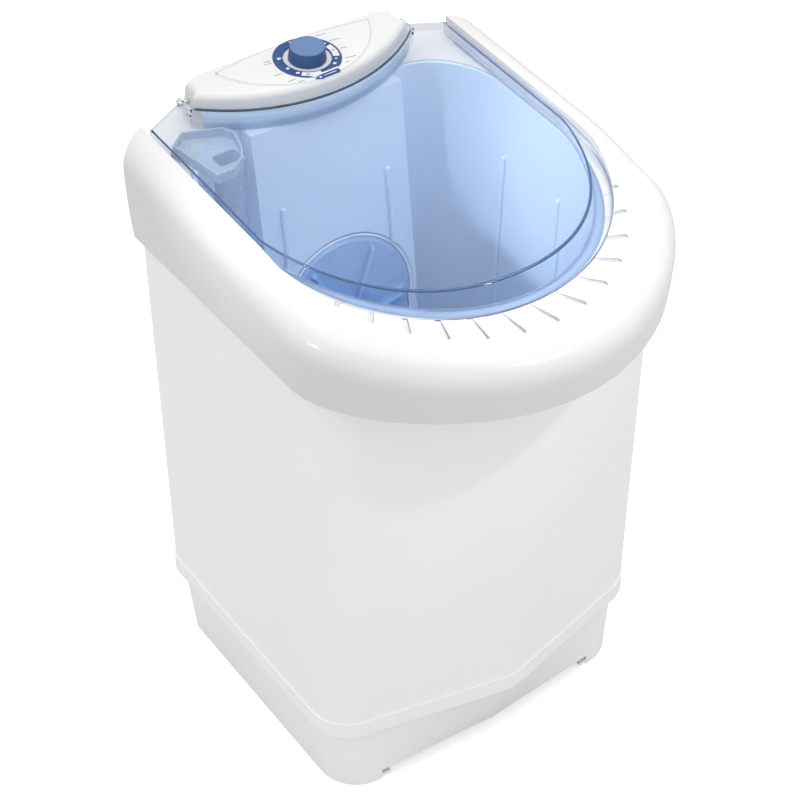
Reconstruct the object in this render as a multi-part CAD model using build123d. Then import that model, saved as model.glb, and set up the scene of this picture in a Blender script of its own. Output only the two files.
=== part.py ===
from build123d import *
import os
from math import atan, cos, degrees, sin, sqrt

# Top-loading washing machine with one tub, in millimetres.
# x runs to the right, y to the back and z up. The origin is on the floor, under the middle of the machine.

# Heights of the body
SKIRT_BOTTOM = 1.0
BASE_STEP_Z = 88.0
SEAM_Z = 112.3
LIP_Z = 546.5
DECK_Z = 620.0
DECK_RISE = 0.073
RIDGE_HEIGHT = 18.0

# Walls and clearances
BODY_WALL = 3.0
COLLAR_WALL = 3.5
TUB_WALL = 3.0
LID_WALL = 2.5
FIT_GAP = 0.3
LID_GAP = 0.5
SHAFT_GAP = 0.05
SEAT_GAP = 0.03

# Cabinet plan
CABINET_HALF = 199.4
CABINET_SHOULDER_Y = -118.5
CABINET_NOSE_Y = -163.9
CABINET_CORNER_Y = 194.6
CABINET_BACK_Y = 232.5
BACK_SLOPE = 0.5
SHOULDER_RADIUS = 45.0
NOSE_RADIUS = 60.0
CORNER_RADIUS = 14.0
TONGUE_HEIGHT = 12.0
TONGUE_WALL = 3.0
BOSS_RADIUS = 9.0
BOSS_HEIGHT = 24.0
BOSS_INSET = 10.5
BOSS_YS = (150.0, -70.0)

# Base
BASE_PROUD = 1.5
BASE_LIP_ROUND = 5.0
SKIRT_TOP_INSET = 8.0
FLOOR_HALF = 187.0
FLOOR_SHOULDER_Y = -121.0
FLOOR_NOSE_Y = -128.0
FLOOR_CORNER_Y = 184.0
FLOOR_BACK_Y = 216.0
NOTCH_HEIGHT = 12.7
NOTCH_HALF = 139.0
BASE_RIM_WIDTH = 24.0
FOOT_PLATE = 70.0
PAD_HEIGHT = 4.0
PAD_RADIUS = 14.0
PAD_STUD_RADIUS = 4.0
PAD_X = 158.0
PAD_YS = (168.0, -92.0)

# Collar plan and side view
COLLAR_HALF = 205.3
COLLAR_SIDE_Y = -82.0
COLLAR_NOSE_Y = -237.4
COLLAR_CORNER_Y = 196.0
COLLAR_BACK_Y = 236.2
COLLAR_BULGE = 2.5
COLLAR_BULGE_Z = 590.0
COLLAR_TOP_BULGE = 1.0
COLLAR_ROUND = 27.0
RIDGE_END_Y = 15.0
BAND_START_Y = -95.0
BAND_START_Z = 619.5
BAND_RISE = 0.15
SWEEP_PULL = 45.0
RECESS_RADIUS = 181.6
RECESS_CENTRE_Y = 12.6
RECESS_HALF = 178.0
GROOVE_COUNT = 13
GROOVE_PITCH = 11.65
GROOVE_CENTRE_Y = -29.3
GROOVE_OUTER = 168.9
GROOVE_LENGTH = 46.0
GROOVE_SWIRL = 22.5
GROOVE_WIDTH = 4.6
GROOVE_DEPTH = 2.6

# Tub
TUB_HALF = 170.0
TUB_NOSE_Y = -141.0
TUB_SIDE_FRONT_Y = 16.6
TUB_SIDE_BACK_Y = 100.0
TUB_BACK_Y = 183.5
TUB_TOP_Z = 660.0
RIM_START_Z = 560.0
RIM_NOSE_Y = -157.0
RIM_PULL = 0.66
RIM_REACH = 45.0
# The same three values at the height where the loft of the rim ends
RIM_TOP = (-178.0, 0.48, 80.0)
TUB_FLOOR_Z = 170.0
TUB_FLOOR_INSET = 18.0
TUB_FLOOR_ROUND = 5.0
TUB_FLANGE = 11.0
TUB_FLANGE_THICK = 3.0
TUB_SCREW_COUNT = 10
RIB_RADIUS = 3.0
RIB_PROUD = 0.8
BACK_RIB_X = 63.0
BACK_RIB_TOP = 141.0
SIDE_RIB_TOP_Z = 548.0
SIDE_RIB_LENGTH = 300.0
SIDE_RIB_YS = (93.0, 2.0)

# Drive wall of the tub, and the axis of the drive
DRIVE_HALF = 88.0
DRIVE_RISE = 0.12
DRIVE_Z = 403.0
DRIVE_Y = 136.7
DISH_RADIUS = 83.0
DISH_DEPTH = 12.0
DISH_EDGE = 2.5
IMPELLER_RADIUS = 80.0
IMPELLER_VANES = 6
VANE_THICK = 5.0
SHAFT_RADIUS = 6.0
SHAFT_START = -5.0
SHAFT_END = 90.0
BUSH_RADIUS = 9.0
BUSH_LENGTH = 12.0
SEAL_RADIUS = 10.0
SEAL_LENGTH = 9.0
SLEEVE_RADIUS = 12.5
SLEEVE_LENGTH = 8.0
HOUSING_TUBE_RADIUS = 17.0
HOUSING_FLANGE_RADIUS = 36.0
HOUSING_FLANGE_THICK = 5.0
HOUSING_END = 60.0
HOUSING_RIBS = 6
NUT_HEIGHT = 4.0
NUT_RADIUS = 19.0

# Belt drive
BELT_PLANE = 77.0
BELT_WIDTH = 5.4
BELT_THICK = 7.0
BELT_GAP = 0.4
PULLEY_WIDTH = 15.0
PULLEY_RIM = 8.0
DRIVEN_GROOVE_RADIUS = 56.0
DRIVEN_HUB_RADIUS = 14.0
DRIVEN_HOLES = 5
MOTOR_GROOVE_RADIUS = 15.0
SHAFT_SPACING = 154.0

# Motor, its bracket and the capacitor
MOTOR_RADIUS = 56.0
MOTOR_LENGTH = 52.0
BELL_LENGTH = 12.0
BELL_WALL = 3.0
ROTOR_RADIUS = 30.0
AIR_GAP = 0.5
MOTOR_SHAFT_RADIUS = 5.0
BRACKET_HALF = 67.0
BRACKET_THICK = 2.5
MOUNT_OFFSET = 57.0
MOUNT_RADIUS = 9.0
MOUNT_HEIGHT = 3.5
MOTOR_BOSS_HEIGHT = 5.0
CAPACITOR_RADIUS = 18.0
CAPACITOR_LENGTH = 56.0
CAPACITOR_X = -60.0
CAPACITOR_RAISE = 114.0
CLAMP_THICK = 2.0
CLAMP_WIDTH = 14.0

# Drain
SUMP_Y = 20.0
SUMP_RADIUS = 32.0
SUMP_DEPTH = 36.0
SUMP_FLANGE = 12.0
SUMP_WALL = 2.5
DRAIN_RADIUS = 12.0
DRAIN_WALL = 2.0
DRAIN_END_Y = 238.5
SOCKET_END_Y = 72.0
GRILLE_THICK = 2.0
GRILLE_HOLE = 2.6
GRILLE_PITCH = 9.0

# Lid, in the plane of the deck
LID_HEIGHT = 16.46
LID_HALF = 172.4
LID_NOSE = -143.6
LID_SIDE_FRONT = 17.8
LID_SIDE_BACK = 207.2
LID_FLARE = 2.0
LID_FOOT_NOSE = -159.5
LID_FLANGE_THICK = 2.0
LID_FLANGE_BACK = 198.0
UPSTAND_HEIGHT = 8.5
EAR_INNER = 123.0
LUG_START = 128.2
LUG_THICK = 2.5
LUG_RADIUS = 5.7
LUG_FRONT = 204.5
PIN_RADIUS = 2.5
PIN_INSIDE = 12.0
HINGE_V = 224.0
HINGE_W = 19.3

# Control housing, in the plane of the deck
PANEL_TOP = 38.8
PANEL_CENTRE = 348.1
PANEL_RADIUS = 188.0
PANEL_TIP = 126.0
PANEL_SIDE = 120.0
PANEL_SIDE_FRONT = 216.0
PANEL_SIDE_BACK = 232.0
PANEL_BACK = 238.5
PANEL_LEAN = 0.14
PANEL_LEAN_FROM = 22.0
PANEL_GAP = 2.2
CROWN_RADIUS = 3053.0
PANEL_WALL = 3.0
PANEL_EDGE = 7.0
PANEL_BOSSES = ((95.0, 214.0), (50.0, 226.0))
LEAF_TIP_X = 90.5
LEAF_TIP_V = 226.0
LEAF_FRONT = 163.8
LEAF_BACK = 234.5
OVERLAY_THICK = 0.4
DIAL_RADIUS = 33.7
DIAL_INNER = 24.0
DIAL_THICK = 1.3
DIAL_SINK = 0.6
KNOB_RADIUS = 19.0
KNOB_TOP_RADIUS = 17.3
KNOB_HEIGHT = 14.0
KNOB_GAP = 0.6
DIMPLE_RADIUS = 1.4
DIMPLE_INSET = 4.5
TIMER_RADIUS = 27.0
TIMER_DEPTH = 26.0
TIMER_SHAFT_RADIUS = 3.0
TIMER_SEAT = 4.5
TIMER_ROOM = 7.6

# Dispenser cup, in the plane of the deck
CUP_HEIGHT = 11.0
CUP_WALL = 2.0
CUP_OUTLINE = ((-165.0, 179.6), (-147.0, 193.9), (-109.3, 179.6), (-103.9, 166.9),
               (-109.9, 143.1), (-118.0, 130.1), (-134.7, 119.1), (-151.9, 119.2))
CUP_PANEL_GAP = 6.0
CHUTE_X = -124.5
CHUTE_V = 147.0
CHUTE_TOP = (30.0, 22.0)
CHUTE_BOTTOM = (18.0, 14.0)
CHUTE_LENGTH = 62.0

# Rear cover
COVER_HALF = 100.0
COVER_BOTTOM = 190.0
COVER_TOP = 470.0
COVER_THICK = 2.0
COVER_LAP = 10.0
LOUVRE_COUNT = 8
LOUVRE_PITCH = 12.0
LOUVRE_HALF = 60.0
LOUVRE_BOTTOM = 350.0
LOUVRE_DEPTH = 3.4
LOUVRE_HEIGHT = 8.0
GLAND_X = 78.0
GLAND_Z = 215.0
GLAND_RADIUS = 8.0
GLAND_BORE = 4.0

# Screws: shank radius, head radius and head height
SMALL_SCREW = (1.9, 3.8, 2.2)
LARGE_SCREW = (2.4, 4.8, 3.0)

BASE = (Align.CENTER, Align.CENTER, Align.MIN)
MOTOR_START = TUB_WALL + MOTOR_BOSS_HEIGHT + MOUNT_HEIGHT + BRACKET_THICK
MOTOR_END = MOTOR_START + MOTOR_LENGTH
HOUSING_START = DISH_DEPTH + TUB_WALL
LID_FLANGE_HALF = RECESS_HALF - LID_GAP
DRAIN_Z = TUB_FLOOR_Z - TUB_WALL - SUMP_DEPTH / 2
# The timer stands off the housing's back wall, and dial and knob sit on its shaft.
DIAL_V = PANEL_BACK - PANEL_WALL - TIMER_ROOM - TIMER_RADIUS

deck_angle = atan(DECK_RISE)
drive_angle = atan(DRIVE_RISE)
# The deck frame lies on the floor of the lid's recess. Its second axis runs to the back and its third away from the deck.
deck = Plane(origin=(0, 0, DECK_Z), x_dir=(1, 0, 0), z_dir=(0, -sin(deck_angle), cos(deck_angle))).location
# The drive frame starts on the inner face of the drive wall. Its third axis runs backwards and its second runs down.
drive = Plane(origin=(0, DRIVE_Y, DRIVE_Z), x_dir=(1, 0, 0), z_dir=(0, cos(drive_angle), -sin(drive_angle))).location


def both_sides(right):
    """Edges of the right half, with their mirror images on the left."""
    return right + [edge.mirror(Plane.YZ) for edge in right]


def rod(radius, start, end):
    return Pos(0, 0, start) * Cylinder(radius, end - start, align=BASE)


def tube(outer, inner, start, end):
    return rod(outer, start, end) - rod(inner, start - 1, end + 1)


def prism(face, start, end):
    return extrude(Pos(0, 0, start) * face, amount=end - start)


def prow(half, shoulder, nose, corner, back, grow):
    """Plan with two front faces that meet in a blunt prow, and slanted back corners."""
    half, nose, back = half + grow, nose - grow, back + grow
    shoulder, corner = shoulder - 0.9 * grow, corner + 0.62 * grow
    flat = half - (back - corner) / BACK_SLOPE
    right = [(half, shoulder), (half, corner), (flat, back)]
    left = [(-x, y) for x, y in reversed(right)]
    face = make_face(Polyline((0, nose), *right, *left, close=True))
    face = fillet([v for v in face.vertices() if abs(v.Y - shoulder) < 0.01], SHOULDER_RADIUS + grow)
    face = fillet([v for v in face.vertices() if abs(v.X) < 0.01 and v.Y < 0], NOSE_RADIUS)
    return fillet([v for v in face.vertices() if abs(v.Y - corner) < 0.01], max(CORNER_RADIUS + grow, 2))


def cabinet_plan(grow=0.0):
    return prow(CABINET_HALF, CABINET_SHOULDER_Y, CABINET_NOSE_Y, CABINET_CORNER_Y, CABINET_BACK_Y, grow)


def floor_plan(grow=0.0):
    return prow(FLOOR_HALF, FLOOR_SHOULDER_Y, FLOOR_NOSE_Y, FLOOR_CORNER_Y, FLOOR_BACK_Y, grow)


def collar_plan(grow=0.0):
    """Plan of the collar: straight sides, a full round front and slanted back corners."""
    half, nose, back = COLLAR_HALF + grow, COLLAR_NOSE_Y - grow, COLLAR_BACK_Y + grow
    corner = COLLAR_CORNER_Y + 0.62 * grow
    side = (half, COLLAR_SIDE_Y)
    reach = 0.4 * (COLLAR_SIDE_Y - nose)
    flat = half - (back - corner) / BACK_SLOPE
    right = [
        Bezier((0, nose), (0.514 * half, nose), (half, COLLAR_SIDE_Y - reach), side),
        Line(side, (half, corner)),
        Line((half, corner), (flat, back)),
    ]
    return make_face(both_sides(right) + [Line((flat, back), (-flat, back))])


def tub_plan(grow=0.0, nose=TUB_NOSE_Y, pull=0.832, reach=11.7):
    """Plan of the tub: round front, straight sides and large round back corners."""
    half, nose, back = TUB_HALF + grow, nose - grow, TUB_BACK_Y + grow
    front_side, back_side = (half, TUB_SIDE_FRONT_Y), (half, TUB_SIDE_BACK_Y)
    flat = 0.59 * half
    right = [
        Bezier((0, nose), (pull * half, nose), (half, TUB_SIDE_FRONT_Y - reach), front_side),
        Line(front_side, back_side),
        Bezier(back_side, (half, 0.8 * back), (0.82 * half, back), (flat, back)),
    ]
    return make_face(both_sides(right) + [Line((flat, back), (-flat, back))])


def rim_plan(grow=0.0):
    """Plan of the tub where it meets the deck, with its front reaching further forward."""
    return tub_plan(grow, RIM_NOSE_Y, RIM_PULL, RIM_REACH)


def recess_plan(grow=0.0):
    """Plan of the lid's recess: round in front and open at the back."""
    radius, half, back = RECESS_RADIUS + grow, RECESS_HALF + grow, COLLAR_BACK_Y + 30
    side = RECESS_CENTRE_Y - sqrt(radius**2 - half**2)
    front = ThreePointArc((-half, side), (0, RECESS_CENTRE_Y - radius), (half, side))
    return make_face([front] + Polyline((half, side), (half, back), (-half, back), (-half, side)).edges())


def side_profile(edges):
    """Side view in y and z, extruded across the whole width."""
    return extrude(Plane.YZ * make_face(edges), amount=300, both=True)


def above_deck(offset=0.0):
    low, high = DECK_Z + offset - 400 * DECK_RISE, DECK_Z + offset + 400 * DECK_RISE
    return side_profile(Polyline((-400, low), (400, high), (400, 900), (-400, 900), close=True).edges())


def above_top(drop=0.0):
    """Space above the collar in side view: ridge, swept curve and front band."""
    ridge = DECK_Z + RIDGE_HEIGHT - drop
    start = (RIDGE_END_Y, ridge + DECK_RISE * RIDGE_END_Y)
    end = (BAND_START_Y, BAND_START_Z - drop)
    back = (300, ridge + DECK_RISE * 300)
    front = (-340, end[1] + BAND_RISE * (-340 - end[0]))
    curve = Bezier(
        start,
        (start[0] - SWEEP_PULL, start[1] - SWEEP_PULL * DECK_RISE),
        (end[0] + SWEEP_PULL, end[1] + SWEEP_PULL * BAND_RISE),
        end,
    )
    box = Polyline(front, (-340, 800), (300, 800), back)
    return side_profile([Line(back, start), curve, Line(end, front)] + box.edges())


def screw(size, length):
    """Pan-head screw that points along +z, with the underside of its head at z = 0."""
    shank, head, height = size
    cap = rod(head, -height, 0)
    cap = fillet(cap.edges().sort_by(Axis.Z)[0], 0.6 * height)
    return cap + rod(shank, 0, length)


def screw_hole(size, depth):
    return rod(size[0] + SHAFT_GAP, -1, depth)


# Cabinet and base

def boss_places():
    return [(side * (CABINET_HALF - BOSS_INSET), y) for side in (-1, 1) for y in BOSS_YS]


def cover_screw_places():
    edge = COVER_HALF + COVER_LAP / 2
    heights = (COVER_BOTTOM + 12, (COVER_BOTTOM + COVER_TOP) / 2, COVER_TOP - 12)
    outside = CABINET_BACK_Y + COVER_THICK
    return [Pos(x, outside, z) * Rot(X=90) for x in (-edge, edge) for z in heights]


def make_cabinet():
    inside = cabinet_plan(-BODY_WALL / 2)
    shell = prism(cabinet_plan(), SEAM_Z, LIP_Z) - prism(cabinet_plan(-BODY_WALL), SEAM_Z, LIP_Z)
    for x, y in boss_places():
        shell += Pos(x, y, 0) * rod(BOSS_RADIUS, SEAM_Z, SEAM_Z + BOSS_HEIGHT) & prism(inside, SEAM_Z, LIP_Z)
        shell -= Pos(x, y, SEAM_Z) * screw_hole(LARGE_SCREW, BOSS_HEIGHT - 4)
    middle = (COVER_TOP + COVER_BOTTOM) / 2
    shell -= Pos(0, CABINET_BACK_Y, middle) * Box(2 * COVER_HALF, 30, COVER_TOP - COVER_BOTTOM)
    for place in cover_screw_places():
        shell -= place * screw_hole(SMALL_SCREW, 9)
    shell -= Pos(0, CABINET_BACK_Y, DRAIN_Z) * Rot(X=90) * Cylinder(DRAIN_RADIUS + DRAIN_WALL + 3, 30)
    return shell


def make_base():
    skirt = loft([Pos(0, 0, SKIRT_BOTTOM) * floor_plan(), Pos(0, 0, BASE_STEP_Z) * cabinet_plan(-SKIRT_TOP_INSET)])
    lip = prism(cabinet_plan(BASE_PROUD), BASE_STEP_Z, SEAM_Z)
    lip = fillet(lip.faces().sort_by(Axis.Z)[0].edges(), BASE_LIP_ROUND)
    outer = skirt + lip
    step_inset = SKIRT_TOP_INSET + BODY_WALL
    skirt_hollow = loft([Pos(0, 0, SKIRT_BOTTOM) * floor_plan(-BODY_WALL),
                         Pos(0, 0, BASE_STEP_Z) * cabinet_plan(-step_inset)])
    shell = outer - skirt_hollow
    shell -= prism(cabinet_plan(-step_inset), BASE_STEP_Z, BASE_STEP_Z + BODY_WALL + 1)
    shell -= prism(cabinet_plan(BASE_PROUD - BODY_WALL - 1), BASE_STEP_Z + BODY_WALL, SEAM_Z - BODY_WALL)
    shell -= prism(cabinet_plan(-BASE_RIM_WIDTH), SEAM_Z - BODY_WALL - 1, SEAM_Z + 1)
    tongue_outer = BODY_WALL + FIT_GAP
    tongue = prism(cabinet_plan(-tongue_outer), SEAM_Z - 1, SEAM_Z + TONGUE_HEIGHT)
    tongue -= prism(cabinet_plan(-tongue_outer - TONGUE_WALL), SEAM_Z - 2, SEAM_Z + TONGUE_HEIGHT + 1)
    for x, y in boss_places():
        tongue -= Pos(x, y, 0) * rod(BOSS_RADIUS + 1, SEAM_Z, SEAM_Z + BOSS_HEIGHT)
    shell += tongue
    for x, y in boss_places():
        shell -= Pos(x, y, SEAM_Z - BODY_WALL) * screw_hole(LARGE_SCREW, BODY_WALL + 1)
    front = Box(2 * NOTCH_HALF, 120, 2 * NOTCH_HEIGHT)
    shell -= Pos(0, FLOOR_NOSE_Y, 0) * front
    for side in (-1, 1):
        for y in PAD_YS:
            plate = Pos(side * (PAD_X + 6), y + (6 if y > 0 else -6), PAD_HEIGHT) * Box(
                FOOT_PLATE, FOOT_PLATE, BODY_WALL, align=BASE)
            shell += plate & skirt
            shell -= Pos(side * PAD_X, y, 0) * rod(PAD_STUD_RADIUS + SHAFT_GAP, PAD_HEIGHT - 1, 20)
    return shell


def make_feet():
    pad = rod(PAD_RADIUS, 0, PAD_HEIGHT)
    pad = chamfer(pad.edges().sort_by(Axis.Z)[0], 1)
    pad += rod(PAD_STUD_RADIUS, PAD_HEIGHT - 1, PAD_HEIGHT + BODY_WALL + 3)
    return [Pos(side * PAD_X, y, 0) * pad for side in (-1, 1) for y in PAD_YS]


def make_base_screws():
    return [Pos(x, y, SEAM_Z - BODY_WALL) * screw(LARGE_SCREW, BOSS_HEIGHT - 6) for x, y in boss_places()]


# Collar

def collar_body(inset, drop):
    """Outside of the collar for no inset, or its hollow for the wall as inset."""
    heights = ((LIP_Z, 0), (COLLAR_BULGE_Z, COLLAR_BULGE), (DECK_Z + 60, COLLAR_TOP_BULGE))
    body = loft([Pos(0, 0, z) * collar_plan(bulge - inset) for z, bulge in heights])
    body -= above_top(drop)
    edge_z = BAND_START_Z - 60
    rounded = []
    for edge in body.edges():
        box = edge.bounding_box()
        if box.min.Z > edge_z and edge.center().Y < COLLAR_CORNER_Y and box.max.Y < COLLAR_BACK_Y - inset:
            rounded.append(edge)
    return fillet(rounded, COLLAR_ROUND - inset)


def make_grooves():
    """Slanting grooves of the band, deepest at their outer ends."""
    band_angle = atan(BAND_RISE)
    height = BAND_START_Z + BAND_RISE * (GROOVE_CENTRE_Y - BAND_START_Y)
    band = Plane(origin=(0, GROOVE_CENTRE_Y, height), x_dir=(1, 0, 0), z_dir=(0, -sin(band_angle), cos(band_angle)))
    slot = extrude(Rot(Z=90) * SlotOverall(GROOVE_LENGTH, GROOVE_WIDTH), amount=12)
    fade = degrees(atan(GROOVE_DEPTH / GROOVE_LENGTH))
    tools = []
    for index in range(GROOVE_COUNT):
        turn = Rot(Z=GROOVE_PITCH * (index - (GROOVE_COUNT - 1) / 2))
        place = turn * Pos(0, -GROOVE_OUTER, -GROOVE_DEPTH / 2) * Rot(Z=GROOVE_SWIRL)
        place *= Pos(0, GROOVE_LENGTH / 2, 0) * Rot(X=fade)
        tools.append(band.location * place * slot)
    return tools


def make_collar():
    collar = collar_body(0, 0)
    hollow = collar_body(COLLAR_WALL, COLLAR_WALL)
    hollow -= prism(recess_plan(COLLAR_WALL), LIP_Z, 900) & above_deck(-COLLAR_WALL)
    hollow -= Pos(0, 0, LIP_Z) * Box(600, 600, 2 * COLLAR_WALL)
    collar -= hollow
    collar -= prism(recess_plan(), LIP_Z, 900) & above_deck()
    tongue_outer = BODY_WALL + FIT_GAP
    collar += prism(cabinet_plan(-tongue_outer), LIP_Z - TONGUE_HEIGHT, LIP_Z + 1)
    collar -= prism(cabinet_plan(-tongue_outer - TONGUE_WALL), LIP_Z - TONGUE_HEIGHT - 1, LIP_Z + COLLAR_WALL + 1)
    collar -= prism(rim_plan(TUB_WALL + FIT_GAP), LIP_Z + COLLAR_WALL + 1, 700)
    collar -= make_grooves()
    for place in tub_screw_places():
        collar -= place * screw_hole(SMALL_SCREW, TUB_FLANGE_THICK + COLLAR_WALL - 0.7)
    for place in panel_screw_places():
        collar -= place * screw_hole(SMALL_SCREW, COLLAR_WALL + 1)
    return collar


# Tub

def drive_block(inset):
    """Space behind the drive wall, open to the back of the tub."""
    width = 2 * (DRIVE_HALF - inset)
    block = Pos(0, 0, inset) * Box(width, 640, 160, align=BASE)
    return drive * block


def tub_inset(z):
    return TUB_FLOOR_INSET * (TUB_TOP_Z - z) / (TUB_TOP_Z - TUB_FLOOR_Z)


def tub_half_width(y, z):
    """Half width of the tub's hollow across a line of constant y at a height."""
    slice_of_plan = prism(tub_plan(-tub_inset(z)), 0, 1) & Pos(0, y, 0) * Box(1000, 0.1, 4)
    return slice_of_plan.bounding_box().max.X


def tub_body(grow, floor_z):
    """Tapered tub up to the deck. Its front flares out over the top of the cabinet."""
    waist = Pos(0, 0, RIM_START_Z) * tub_plan(grow - tub_inset(RIM_START_Z))
    body = loft([Pos(0, 0, floor_z) * tub_plan(grow - tub_inset(floor_z)), waist])
    body = fillet(body.faces().sort_by(Axis.Z)[0].edges(), TUB_FLOOR_ROUND + grow)
    return body + loft([waist, Pos(0, 0, TUB_TOP_Z) * tub_plan(grow, *RIM_TOP)]) - above_deck()


def tub_screw_places():
    rim = rim_plan(TUB_WALL + FIT_GAP + 0.5 * TUB_FLANGE).face().outer_wire()
    points = [rim @ ((index + 0.5) / TUB_SCREW_COUNT) for index in range(TUB_SCREW_COUNT)]
    under = -(COLLAR_WALL + TUB_FLANGE_THICK)
    return [deck * Pos(point.X, point.Y, under) for point in points]


def motor_mount_places():
    return [(x, SHAFT_SPACING + y) for x in (-MOUNT_OFFSET, MOUNT_OFFSET) for y in (-MOUNT_OFFSET, MOUNT_OFFSET)]


def make_tub_ribs():
    """Upright ribs with round tops, on the drive wall and on both side walls."""
    dish_edge = sqrt(DISH_RADIUS**2 - BACK_RIB_X**2) + DISH_EDGE
    length = BACK_RIB_TOP - dish_edge
    upright = Cylinder(RIB_RADIUS, length, align=BASE) + Sphere(RIB_RADIUS)
    ribs = [drive * Pos(x, -BACK_RIB_TOP, -RIB_PROUD) * Rot(X=-90) * upright for x in (-BACK_RIB_X, BACK_RIB_X)]
    side_rib = Cylinder(RIB_RADIUS, SIDE_RIB_LENGTH, align=BASE) + Sphere(RIB_RADIUS)
    for y in SIDE_RIB_YS:
        top, low = tub_half_width(y, SIDE_RIB_TOP_Z), tub_half_width(y, SIDE_RIB_TOP_Z - SIDE_RIB_LENGTH)
        lean = degrees(atan((top - low) / SIDE_RIB_LENGTH))
        for side in (-1, 1):
            middle = side * (top - RIB_PROUD)
            ribs.append(Pos(middle, y, SIDE_RIB_TOP_Z) * Rot(Y=180 + side * lean) * side_rib)
    return ribs


def make_tub():
    outer = tub_body(TUB_WALL, TUB_FLOOR_Z - TUB_WALL)
    inner = tub_body(0, TUB_FLOOR_Z) - drive_block(0)
    flange = prism(rim_plan(TUB_WALL + FIT_GAP + TUB_FLANGE), LIP_Z, 700) - above_deck(-COLLAR_WALL)
    flange &= above_deck(-COLLAR_WALL - TUB_FLANGE_THICK)
    shelf = COLLAR_WALL + TUB_FLANGE_THICK + TUB_WALL
    tub = outer - (drive_block(TUB_WALL) - above_deck(-shelf)) + flange - inner
    dish = rod(DISH_RADIUS, -1, DISH_DEPTH)
    tub += drive * rod(DISH_RADIUS + TUB_WALL, 1, DISH_DEPTH + TUB_WALL)
    tub -= drive * dish
    tub -= drive * Pos(0, 0, -0.01) * Cone(DISH_RADIUS + DISH_EDGE, DISH_RADIUS, DISH_EDGE, align=BASE)
    tub -= drive * rod(SLEEVE_RADIUS + SHAFT_GAP, 0, DISH_DEPTH + 10)
    for x, y in motor_mount_places():
        tub += drive * Pos(x, y, 0) * rod(MOUNT_RADIUS, TUB_WALL - 1, TUB_WALL + MOTOR_BOSS_HEIGHT)
        tub -= drive * Pos(x, y, 0) * rod(SMALL_SCREW[0] + SHAFT_GAP, 1, TUB_WALL + MOTOR_BOSS_HEIGHT + 1)
    tub += make_tub_ribs()
    tub -= Pos(0, SUMP_Y, 0) * rod(SUMP_RADIUS - SUMP_WALL, TUB_FLOOR_Z - 20, TUB_FLOOR_Z + 1)
    for place in tub_screw_places():
        tub -= place * screw_hole(SMALL_SCREW, TUB_FLANGE_THICK + 1)
    return tub


def make_tub_screws():
    return [place * screw(SMALL_SCREW, TUB_FLANGE_THICK + COLLAR_WALL - 1) for place in tub_screw_places()]


# Impeller, its shaft and bearing

def make_impeller():
    """Domed disc with a skirt and radial vanes, turned about the drive axis."""
    bore = SHAFT_RADIUS + SEAT_GAP
    rim = IMPELLER_RADIUS
    half = Polyline((0, -11), (14, -10), (24, -5), (rim - 4, -1), (rim, 2), (rim, 8), (rim - 2.5, 8), (rim - 2.5, 3.5),
                    (27, -1.5), (17, 3), (15, 6), (bore, 6), (bore, SHAFT_START - 0.5), (0, SHAFT_START - 0.5), close=True)
    disc = revolve(Plane.XZ * make_face(half), Axis.Z)
    vane_face = make_face(Polyline((12, -4), (12, -12), (30, -12.5), (rim - 12, -6.5), (rim - 7, 0), close=True))
    vane = extrude(Plane.XZ * vane_face, amount=VANE_THICK / 2, both=True)
    vane = fillet(vane.edges().filter_by(lambda edge: edge.center().Z < -6), 1.5)
    for index in range(IMPELLER_VANES):
        disc += Rot(Z=360 / IMPELLER_VANES * index) * vane
    return drive * disc


def make_impeller_shaft():
    return drive * rod(SHAFT_RADIUS, SHAFT_START, SHAFT_END)


def make_bearing_housing():
    """Flanged sleeve behind the drive wall, with ribs. A threaded spigot passes through the wall."""
    flange_end = HOUSING_START + HOUSING_FLANGE_THICK
    body = rod(HOUSING_FLANGE_RADIUS, HOUSING_START, flange_end)
    body += rod(HOUSING_TUBE_RADIUS, HOUSING_START, HOUSING_END)
    body += rod(SLEEVE_RADIUS, HOUSING_START - SLEEVE_LENGTH, HOUSING_START)
    rib_face = make_face(Polyline((HOUSING_TUBE_RADIUS - 2, flange_end - 1), (HOUSING_FLANGE_RADIUS - 2, flange_end - 1),
                                  (HOUSING_TUBE_RADIUS - 2, HOUSING_END - 8), close=True))
    rib = extrude(Plane.XZ * rib_face, amount=1.5, both=True)
    for index in range(HOUSING_RIBS):
        body += Rot(Z=360 / HOUSING_RIBS * index) * rib
    body -= rod(BUSH_RADIUS + SEAT_GAP, HOUSING_START - SLEEVE_LENGTH - 1, HOUSING_END + 1)
    seal_start = HOUSING_START - SLEEVE_LENGTH
    body -= rod(SEAL_RADIUS + SEAT_GAP, seal_start - 1, seal_start + SEAL_LENGTH)
    return drive * body


def make_bushes():
    """Two plain bushes, one at each end of the sleeve."""
    starts = (HOUSING_START + 3, HOUSING_END - BUSH_LENGTH)
    return [drive * tube(BUSH_RADIUS, SHAFT_RADIUS + SHAFT_GAP, start, start + BUSH_LENGTH) for start in starts]


def make_shaft_seal():
    start = HOUSING_START - SLEEVE_LENGTH
    return drive * tube(SEAL_RADIUS, SHAFT_RADIUS + SHAFT_GAP, start, start + SEAL_LENGTH - 1)


def hexagon_nut(radius, bore, start, height):
    return prism(RegularPolygon(radius, 6), start, start + height) - rod(bore, start - 1, start + height + 1)


def make_bearing_nut():
    return drive * hexagon_nut(NUT_RADIUS, SLEEVE_RADIUS + SEAT_GAP, DISH_DEPTH - NUT_HEIGHT, NUT_HEIGHT)


# Belt drive

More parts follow.
